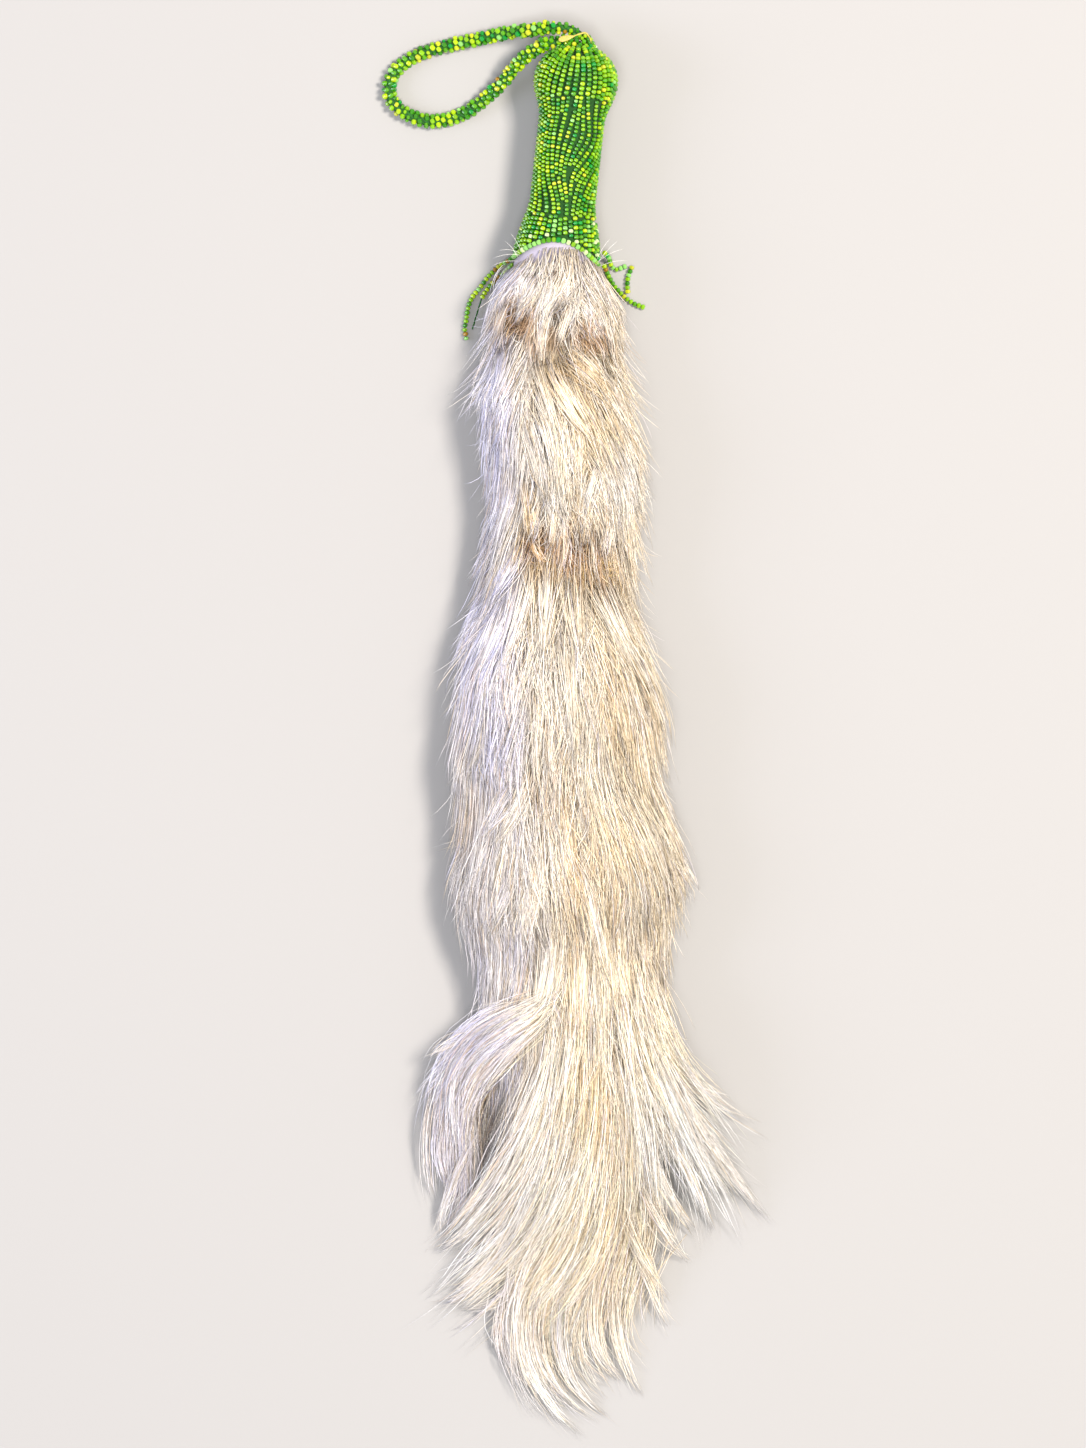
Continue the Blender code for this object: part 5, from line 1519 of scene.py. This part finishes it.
# The level that a lock's root lies at, as a share of the body's height, and how far it rises from there
LOCK_LEVEL = 0.86
LOCK_RISE = 0.14
LOCK_STRAY = 1.4 * MM
LOCK_BOW = 0.8 * MM
# Where the strands of a lock start and end along it, how far they lie apart at its root for its width,
# and how much closer together they lie at its tip
BENT_STARTS = (0, 0.4)
BENT_ENDS = (0.70, 1.06)
BENT_SPREAD = 0.36
BENT_GATHER = 0.85


def bent_lock(chance, places, width, count):
    """Strands of one lock seen from above, drawn together to its tip, and each point's way along it."""
    root, bend, tip = np.array(places, float).reshape(3, 2) * MM
    control = 2 * bend - (root + tip) / 2
    share = np.linspace(0, 1, HAIR_POINTS)[None, :]
    start = chance.uniform(*BENT_STARTS, count)[:, None]
    end = chance.uniform(*BENT_ENDS, count)[:, None]
    way = start + (end - start) * share
    on_line = way[:, :, None]
    line = root * (1 - on_line) ** 2 + control * 2 * on_line * (1 - on_line) + tip * on_line**2
    chord = (tip - root) / np.linalg.norm(tip - root)
    off = chance.normal(0, BENT_SPREAD * width * MM, count)[:, None]
    off = off * (1 - BENT_GATHER * np.clip(way, 0, 1) ** 1.8)
    off = off + chance.normal(0, LOCK_STRAY, count)[:, None] * share**2
    off = off + chance.normal(0, LOCK_BOW, count)[:, None] * np.sin(math.pi * share)
    return line + np.array((-chord[1], chord[0])) * off[:, :, None], way


def chosen_locks(chance, rows):
    """Strands of the chosen locks, each risen from within the coat to its upper side."""
    made = []
    share = np.linspace(0, 1, HAIR_POINTS)[None, :]
    for *places, width, count, tint in rows:
        line, way = bent_lock(chance, places, width, count)
        rise = 1 - (1 - np.clip(way / 0.45, 0, 1)) ** 2
        top = LOCK_RISE + chance.normal(0, 0.012)
        height = LOCK_LEVEL + top * rise + chance.normal(0, 0.02, count)[:, None] * share
        strands = on_coat(line[:, :, 0], line[:, :, 1], height)
        tones = hair_tones(chance, strands, np.zeros(count, int), 0.62, tint)
        made.append((strands, tones, chance.uniform(0.6, 1.15, count), np.full(count, places[1] * MM)))
    return [np.concatenate(parts) for parts in zip(*made)]


lay_bands(LOCK_BANDS, *chosen_locks(np.random.default_rng(8), CHOSEN_LOCKS))


# Short dark brown strands, 2 to 7 mm long, are scattered over the coat, closest together near the
# skirt: partly dark guard hairs, partly painted shadow in the gaps between the pale hairs. They lie flat
# on it, along the comb.
DARK_HAIR_AND_SHADOW_STRANDS = 600
DARK_POINTS = 4
DARK_START = -14 * MM
DARK_RANGE = 340 * MM
DARK_LENGTHS = (2 * MM, 7 * MM)
DARK_BANDS = [
    ("dark_hood_hair_and_shadow", -40, 31, "handle", "tail_upper", CREASE),
    ("dark_back_hair_and_shadow", 31, 185, "tail_upper", "tail_middle", DROOP),
    ("dark_end_hair_and_shadow", 185, 480, "tail_middle", "tail_tip", CURL),
]


def dark_hairs_and_shadow_specks(chance, count):
    """Dark hairs and painted shadow specks on the coat, close together near the skirt, far apart at the end.
    """
    reach = DARK_START + DARK_RANGE * chance.random(count) ** 1.5
    across = chance.uniform(-0.85, 0.85, count)
    middle, half_width, _, _ = body_section(reach)
    share = np.linspace(0, 1, DARK_POINTS)[None, :]
    angle = comb_angle(reach, across) + np.radians(chance.normal(0, 14, count))
    length = chance.uniform(*DARK_LENGTHS, count)[:, None]
    x = (middle + across * half_width)[:, None] + np.sin(angle)[:, None] * length * share
    height = chance.uniform(0.96, 1.02, (count, 1))
    lines = on_coat(x, reach[:, None] + np.cos(angle)[:, None] * length * share, height)
    brown = np.array(linear(HAIR_TINTS["brown"])[:3])
    tones = np.tile(brown, (count, DARK_POINTS, 1)) * chance.uniform(0.5, 1.6, (count, 1, 1))
    return lines, tones, chance.uniform(0.4, 0.65, count), reach


lay_bands(DARK_BANDS, *dark_hairs_and_shadow_specks(np.random.default_rng(12), DARK_HAIR_AND_SHADOW_STRANDS))


# Past the body the hair opens into long free fans: a lilac hook on the left, a wide cream and white
# fan that is swept to both sides, and a thin tuft at the end that curls to the right. In each fan the
# strands run between guide lines and gather into pointed clumps.
# After a fan's name come its clumps, the strands in each, how light the hair is, how far its clumps
# stray, the CAD locks that it stands for, its heights from the root to the tip and its guides from left
# to right. A guide's points are across and reach. Lengths are in millimetres. A lightness above 1 is
# painted light that makes up for a fan's own shading; the cavity hair's low one is painted shade.
HAIR_FANS = {
    "left_hook": (110, 20, 1.14, 2.4, ("left_curl_lock", "left_fall_lock"), [
        29, 34, 33, 28, 20, 13, 9, 6, 2,
    ], [
        [(2, 324), (-3, 344), (-21, 353), (-40, 363), (-53, 378), (-60, 396),
         (-61, 415), (-58, 432), (-52, 448)],
        [(2, 327), (-3, 348), (-21, 359), (-39, 371), (-51, 386), (-56, 402),
         (-56, 420), (-54, 438), (-52, 458)],
        [(1, 330), (-4, 352), (-21, 365), (-37, 378), (-47, 393), (-51, 409),
         (-50, 427), (-49, 446), (-56, 466)],
        [(0, 334), (-6, 358), (-19, 370), (-31, 384), (-41, 398), (-44, 413),
         (-43, 430), (-44, 450), (-52, 474)],
    ]),
    # Dark hair deep in the hollow under the hook: painted shade, at a low lightness
    "cavity_painted_shade_hair": (40, 14, 0.62, 3.0, (), [14, 12, 10, 7, 4], [
        [(-14, 362), (-25, 378), (-36, 396), (-41, 418), (-40, 440)],
        [(-10, 368), (-20, 386), (-29, 404), (-35, 426), (-38, 450)],
        [(-4, 374), (-14, 394), (-22, 412), (-30, 434), (-38, 458)],
    ]),
    "wide_fan": (210, 17, 1.24, 4.5, ("right_long_lock", "right_short_lock"), [29, 35, 36, 31, 22, 11, 2], [
        [(0, 336), (-3, 362), (-10, 392), (-22, 420), (-37, 445), (-50, 462), (-62, 476)],
        [(6, 334), (6, 366), (2, 398), (-5, 428), (-18, 458), (-36, 484), (-58, 503)],
        [(13, 334), (16, 368), (16, 400), (13, 430), (4, 459), (-12, 486), (-33, 511)],
        [(20, 334), (24, 368), (26, 400), (26, 430), (22, 458), (17, 480), (12, 500)],
        [(27, 332), (33, 364), (38, 394), (43, 420), (47, 444), (51, 464), (56, 484)],
        [(32, 328), (40, 360), (49, 390), (58, 415), (67, 434), (73, 449), (78, 464)],
        [(35, 324), (42, 354), (53, 384), (66, 408), (79, 427), (91, 444), (104, 460)],
        [(39, 318), (45, 344), (50, 364), (55, 380), (62, 391), (72, 400), (85, 407)],
    ]),
    "cross_sweep": (80, 16, 1.26, 5.0, ("sweep_lock",), [30, 29, 24, 16, 9, 3], [
        [(8, 384), (2, 414), (-10, 442), (-30, 468), (-52, 488), (-66, 497)],
        [(16, 388), (11, 424), (-1, 455), (-20, 482), (-42, 502), (-56, 512)],
        [(23, 392), (19, 430), (8, 463), (-9, 490), (-28, 511), (-41, 523)],
        [(30, 396), (28, 436), (19, 469), (5, 494), (-11, 513), (-22, 526)],
    ]),
    "end_tuft": (90, 10, 1.16, 3.4, ("tip_tuft", "tip_side_lock"), [20, 17, 12, 8, 5, 3, 1.5], [
        [(-8, 448), (-18, 472), (-25, 497), (-27, 518), (-22, 538), (-9, 555), (8, 568)],
        [(4, 448), (-6, 475), (-15, 500), (-17, 522), (-11, 541), (0, 556), (11, 566)],
        [(15, 446), (7, 475), (-1, 502), (-4, 522), (0, 539), (8, 551), (17, 559)],
        [(26, 446), (21, 474), (13, 500), (9, 518), (11, 532), (18, 543), (27, 550)],
        [(35, 444), (34, 470), (28, 494), (24, 510), (25, 522), (30, 532), (38, 541)],
        [(44, 440), (49, 460), (47, 480), (42, 496), (39, 508), (40, 518), (44, 527)],
    ]),
}
FAN_POINTS = 9
GUIDE_STEPS = 48
# How far down the guides a clump may start, and how much of them it covers, as shares
LATEST_START = 0.5
CLUMP_SPANS = (0.38, 0.68)
# Where a strand starts, as a share of its clump's start, how much shorter than its clump it may be, and
# how much of the guides it covers at least, as shares of their length
STRAND_STARTS = (0.3, 1.1)
MOST_SHORTER = 0.30
SHORTEST_SPAN = 0.2
# How far the strands of a clump lie apart where it starts, in guides, a few of them further, and how
# much closer together they lie at its tip
CLUMP_SPREAD = 0.30
FAR_SHARE = 0.12
FAR_SPREAD = 0.5
CLUMP_GATHER = 0.80
CLUMP_WAVE = 1.4 * MM
STRAND_BOW = 1.2 * MM
STRAND_STRAY = 1.5 * MM
# Some strands are darker than the rest
DARKER_SHARE = 0.14
DARKER_VALUE = 0.6
# The hair lies at least this high. Some strands come loose from their clump towards the tip; they are
# finer than the rest, so the fans' edges fray softly.
LYING_HEIGHT = 0.4 * MM
LOOSE_SHARE = 0.24
LOOSE_STRAY = 2.6
LOOSE_THINNER = 0.62


def even_guide(rows):
    """A guide line as evenly spaced points on a smooth curve."""
    corners = [Vector((x * MM, -reach * MM, 0)) for x, reach in rows]
    route = np.array(smooth_route(corners, route_length(corners) / GUIDE_STEPS))
    return np.stack([
        np.interp(np.linspace(0, 1, GUIDE_STEPS), np.linspace(0, 1, len(route)), route[:, i]) for i in (0, 1)
    ], axis=-1)


def hair_fan(chance, clumps, per_clump, value, astray, heights, guides):
    """Strands of one fan: each clump lies between two guides and draws together to its tip."""
    # Each clump has its place between the guides, and a start, an end, a bow and a wave of its own
    lines = np.stack([even_guide(rows) for rows in guides])
    last = len(guides) - 1
    between = (np.arange(clumps) + chance.random(clumps)) / clumps * last
    starts = LATEST_START * chance.random(clumps)
    ends = np.minimum(0.99, starts + chance.uniform(*CLUMP_SPANS, clumps))
    drift = chance.normal(0, astray * MM, (clumps, 2))
    bows = chance.normal(0, 0.6 * astray * MM, (clumps, 2))
    lifts = chance.normal(0, 0.12, clumps)
    waves = chance.normal(0, CLUMP_WAVE, (clumps, 2))
    phases = chance.uniform(0, 2 * math.pi, clumps)

    # Each strand lies beside its clump's middle and closes in on it towards the tip
    clump = np.repeat(np.arange(clumps), per_clump)
    count = len(clump)
    share = np.linspace(0, 1, FAN_POINTS)[None, :]
    start = starts[clump] * chance.uniform(*STRAND_STARTS, count)
    shorter = MOST_SHORTER * chance.random(count) ** 1.5
    end = np.maximum(start + SHORTEST_SPAN, ends[clump] - shorter + 0.04 * chance.random(count))
    way = start[:, None] + (end - start)[:, None] * share
    off = chance.normal(0, CLUMP_SPREAD, count)
    off += np.where(chance.random(count) < FAR_SHARE, chance.normal(0, FAR_SPREAD, count), 0)
    gather = 1 - CLUMP_GATHER * share**1.1
    own_stray = chance.normal(0, 0.05, count)[:, None] * share**2
    across = between[clump][:, None] + off[:, None] * gather + own_stray

    # Its points lie between the two nearest guides, or past the outermost one
    inside = np.clip(across, 0, last - 1e-6)
    left = inside.astype(int)
    mix = (inside - left)[:, :, None]
    at = way * (GUIDE_STEPS - 1)
    low = np.minimum(GUIDE_STEPS - 2, at.astype(int))
    part = (at - low)[:, :, None]

    def on_guide(guide):
        """Every strand's points moved on to its guide."""
        return lines[guide, low] * (1 - part) + lines[guide, low + 1] * part

    flat = on_guide(left) * (1 - mix) + on_guide(left + 1) * mix
    flat += (across - inside)[:, :, None] * (on_guide(left + 1) - on_guide(left))

    # The strands and the clumps stray most at their tips, and bow and wave on the way there
    is_loose = chance.random(count) < LOOSE_SHARE
    loose = 1 + LOOSE_STRAY * is_loose
    flat += chance.normal(0, STRAND_STRAY, (count, 1, 2)) * (loose[:, None] * share**2)[:, :, None]
    flat += drift[clump][:, None, :] * (share**1.4)[:, :, None]
    own_bows = bows[clump] + chance.normal(0, STRAND_BOW, (count, 2))
    flat += own_bows[:, None, :] * np.sin(math.pi * share)[:, :, None]
    flat += waves[clump][:, None, :] * (np.sin(7 * share + phases[clump][:, None]) * share)[:, :, None]

    # Its root half lies deeper, under the strands that start above it
    level = np.interp(way, np.linspace(0, 1, len(heights)), np.array(heights, float) * MM)
    own_lift = lifts[clump] + chance.normal(0, 0.09, count)
    level *= 0.74 + (0.30 + own_lift[:, None]) * smooth_step(0.0, 0.5, share)
    level = np.maximum(LYING_HEIGHT, level)
    strands = np.concatenate([flat, level[:, :, None]], axis=2)
    # Each fan's lightness, with painted light on the open fans and painted shade on the cavity hair
    own_value = value * np.where(chance.random(count) < DARKER_SHARE, DARKER_VALUE, 1.0)
    # Painted shade at the roots, lighter for clumps that start at the fan's own root
    root = 0.56 + 0.32 * smooth_step(0.16, 0.02, starts[clump])
    tones = np.minimum(PALEST, hair_tones(chance, strands, clump, root) * own_value[:, None, None])
    return strands, tones, chance.uniform(0.45, 0.95, count) * np.where(is_loose, LOOSE_THINNER, 1.0)


for number, (name, (*counts, nodes, heights, guides)) in enumerate(HAIR_FANS.items()):
    fan = hair_fan(np.random.default_rng(70 + number), *counts, heights, guides)
    piece = strand_piece(name, *fan)
    if nodes:
        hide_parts(*nodes)
    bend_with(piece)


# The fans fray into single pointed tips, and a few wisps stand off the hook. They are placed one by one
# after the photograph.
# Each row is the root, the bend and the tip, across and reach, then the heights of the root and the tip,
# the width at the root, all in millimetres, the number of strands and the tint.
FREE_TIPS = [
    (45, 361, 64, 388, 91, 409, 30, 6, 7, 44, "white"), (50, 372, 66, 392, 82, 398, 28, 10, 4, 20, "white"),
    (53, 394, 75, 421, 105, 460, 27, 2, 7, 50, "white"), (49, 400, 73, 431, 88, 450, 25, 3, 5, 34, "white"),
    (44, 396, 63, 431, 77, 464, 27, 2, 8, 60, "white"), (38, 404, 52, 440, 69, 468, 27, 2, 6, 40, "white"),
    (36, 427, 50, 461, 66, 482, 25, 2, 7, 30, "white"), (27, 438, 41, 476, 57, 501, 22, 2, 7, 26, "cream"),
    (31, 456, 44, 489, 56, 514, 14, 2, 4, 16, "cream"), (38, 461, 47, 486, 50, 517, 13, 2, 5, 16, "straw"),
    (-19, 416, -38, 447, -61, 471, 24, 2, 7, 50, "white"),
    (-24, 430, -43, 462, -63, 476, 20, 2, 6, 44, "white"),
    (-8, 449, -33, 486, -59, 503, 16, 2, 7, 50, "white"),
    (-15, 457, -38, 485, -54, 496, 14, 2, 6, 40, "cream"),
    (-3, 461, -24, 495, -48, 506, 15, 2, 6, 34, "white"),
    (-10, 470, -30, 500, -52, 516, 12, 2, 4, 20, "white"),
    (4, 466, -17, 500, -31, 517, 12, 2, 7, 46, "cream"),
    (-38, 412, -54, 446, -59, 468, 15, 2, 6, 40, "white"),
    (-56, 404, -60, 428, -53, 448, 14, 4, 5, 34, "lilac"),
    (-60, 392, -66, 420, -62, 450, 13, 4, 4, 26, "white"),
    (-38, 368, -55, 372, -68, 380, 24, 15, 9, 16, "white"),
    (-42, 379, -57, 386, -70, 397, 20, 11, 8, 12, "white"),
    (-30, 362, -50, 384, -56, 410, 30, 14, 7, 44, "lilac"),
    (-22, 364, -41, 386, -46, 420, 30, 12, 6, 40, "white"),
    (-44, 372, -52, 400, -46, 436, 26, 8, 5, 34, "white"),
    (-8, 474, -17, 526, 12, 570, 12, 1, 8, 60, "white"), (-1, 479, -10, 527, 18, 561, 12, 1, 8, 50, "cream"),
    (8, 479, 1, 526, 22, 558, 11, 1, 8, 50, "white"), (22, 477, 18, 518, 32, 542, 10, 1, 7, 44, "cream"),
    (31, 475, 29, 515, 42, 548, 10, 1, 6, 40, "white"), (-19, 484, -26, 515, -18, 547, 10, 1, 6, 40, "white"),
    (-24, 492, -31, 517, -26, 535, 8, 1, 4, 24, "cream"), (20, 400, 26, 440, 22, 478, 30, 12, 8, 50, "straw"),
    (4, 396, -4, 436, -24, 472, 33, 15, 8, 50, "white"), (12, 392, 13, 432, 4, 474, 31, 14, 8, 50, "cream"),
    (30, 388, 38, 424, 45, 462, 33, 12, 8, 50, "white"), (2, 372, -12, 408, -34, 446, 36, 14, 8, 50, "cream"),
]
# How many of a tip's strands come loose, how far they stray, and how much lighter the tips are
FREE_LOOSE_SHARE = 0.3
FREE_LOOSE_STRAY = 3.0 * MM
FREE_VALUE = 1.1


def free_tips(chance, rows):
    """Strands of the free tips, each lock sinking from its root to the ground."""
    made = []
    share = np.linspace(0, 1, HAIR_POINTS)[None, :]
    for *places, high, low, width, count, tint in rows:
        line, way = bent_lock(chance, places, width, count)
        is_loose = chance.random(count) < FREE_LOOSE_SHARE
        stray = chance.normal(0, FREE_LOOSE_STRAY, (count, 1, 2))
        line = line + stray * (is_loose[:, None] * share**2)[:, :, None]
        fall = np.clip(way, 0, 1) ** 1.4
        level = (high + (low - high) * fall) * MM * (1 + chance.normal(0, 0.06, count)[:, None])
        level = np.maximum(LYING_HEIGHT, level * (0.92 + 0.2 * np.sin(math.pi * np.clip(way, 0, 1))))
        strands = np.stack([line[:, :, 0], -line[:, :, 1], level], axis=-1)
        tones = FREE_VALUE * hair_tones(chance, strands, np.zeros(count, int), 0.6, tint)
        thickness = chance.uniform(0.5, 1.0, count) * np.where(is_loose, LOOSE_THINNER, 1.0)
        made.append((strands, np.minimum(PALEST, tones), thickness))
    return [np.concatenate(parts) for parts in zip(*made)]


free_tip_hair = strand_piece("free_tips", *free_tips(np.random.default_rng(85), FREE_TIPS))
bend_with(free_tip_hair)


# Stray hairs stand off the coat all round and at the skirt's two corners, where a few stiff ones poke
# out between the beads. They are finer than the rest.
STRAY_HAIRS = 1300
STRAY_POINTS = 6
STRAY_LENGTHS = (12 * MM, 36 * MM)
STIFF_THICKNESS = 0.34
STIFF_ROOT_HEIGHT = 34
STIFF_TIP_HEIGHT = 38
STIFF_BOW = 1.2
# A stiff hair's root and tip, across and reach, in millimetres
STIFF_HAIRS = [
    (-19, -23, -30, -24), (-19, -22, -33, -20), (-20, -21, -27, -29), (-18, -23, -24, -33),
    (-20, -19, -34, -16), (19, -18, 33, -25), (19, -17, 30, -29), (20, -16, 35, -19), (19, -19, 26, -30),
]


def stray_hairs(chance, count):
    """Single hairs that lift off the coat at an angle to the comb."""
    root = chance.uniform(-10 * MM, 400 * MM, count)
    turn = chance.uniform(-0.2, math.pi + 0.2, count)
    at_edge = chance.random(count) < 0.7
    turn[at_edge] = np.where(
        chance.random(at_edge.sum()) < 0.5, chance.normal(0.15, 0.2, at_edge.sum()),
        math.pi - chance.normal(0.15, 0.2, at_edge.sum()),
    )
    length = chance.uniform(*STRAY_LENGTHS, count)
    lean = comb_angle(root, np.cos(turn)) + np.radians(chance.normal(0, 12, count))
    lean += np.radians(12) * np.cos(turn)
    share = np.linspace(0, 1, STRAY_POINTS)[None, :]
    angle = lean[:, None] + np.radians(chance.normal(0, 22, count))[:, None] * (share - 0.3)
    step = length[:, None] / (STRAY_POINTS - 1)
    reach = root[:, None] + np.cumsum(np.cos(angle), axis=1) * step
    sideways = np.cumsum(np.sin(angle), axis=1) * step
    _, half_width, _, _ = body_section(root)
    height = 0.9 + chance.uniform(0.04, 0.16, count)[:, None] * share
    p = height * np.cos(turn)[:, None] + 0.5 * sideways / half_width[:, None]
    lines = in_body(reach, p, height * np.sin(turn)[:, None])
    tones = hair_tones(chance, lines, np.arange(count), 0.9)
    return lines, tones, chance.uniform(0.35, 0.6, count), root


STRAY_BANDS = [
    ("stray_neck_hairs", -40, 31, "handle", "tail_upper", CREASE),
    ("stray_back_hairs", 31, 210, "tail_upper", "tail_middle", DROOP),
    ("stray_end_hairs", 210, 480, "tail_middle", "tail_tip", CURL),
]
lay_bands(STRAY_BANDS, *stray_hairs(np.random.default_rng(91), STRAY_HAIRS))

share = np.linspace(0, 1, STRAY_POINTS)[:, None]
stiff_lines = np.stack([
    np.array((x, -reach, STIFF_ROOT_HEIGHT)) * MM * (1 - share)
    + np.array((end_x, -end_reach, STIFF_TIP_HEIGHT)) * MM * share
    + np.array((0, STIFF_BOW, 0)) * MM * np.sin(math.pi * share)
    for x, reach, end_x, end_reach in STIFF_HAIRS
])
stiff_tones = np.tile(np.array(linear(HAIR_TINTS["white"])[:3]), (len(STIFF_HAIRS), STRAY_POINTS, 1))
stiff_thickness = np.full(len(STIFF_HAIRS), STIFF_THICKNESS)
stiff_hairs = strand_piece("stiff_hairs", stiff_lines, stiff_tones, stiff_thickness)
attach(stiff_hairs, "handle")


size = {"cad": [list(cad_low), list(cad_high)], "visual": [list(corner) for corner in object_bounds()]}
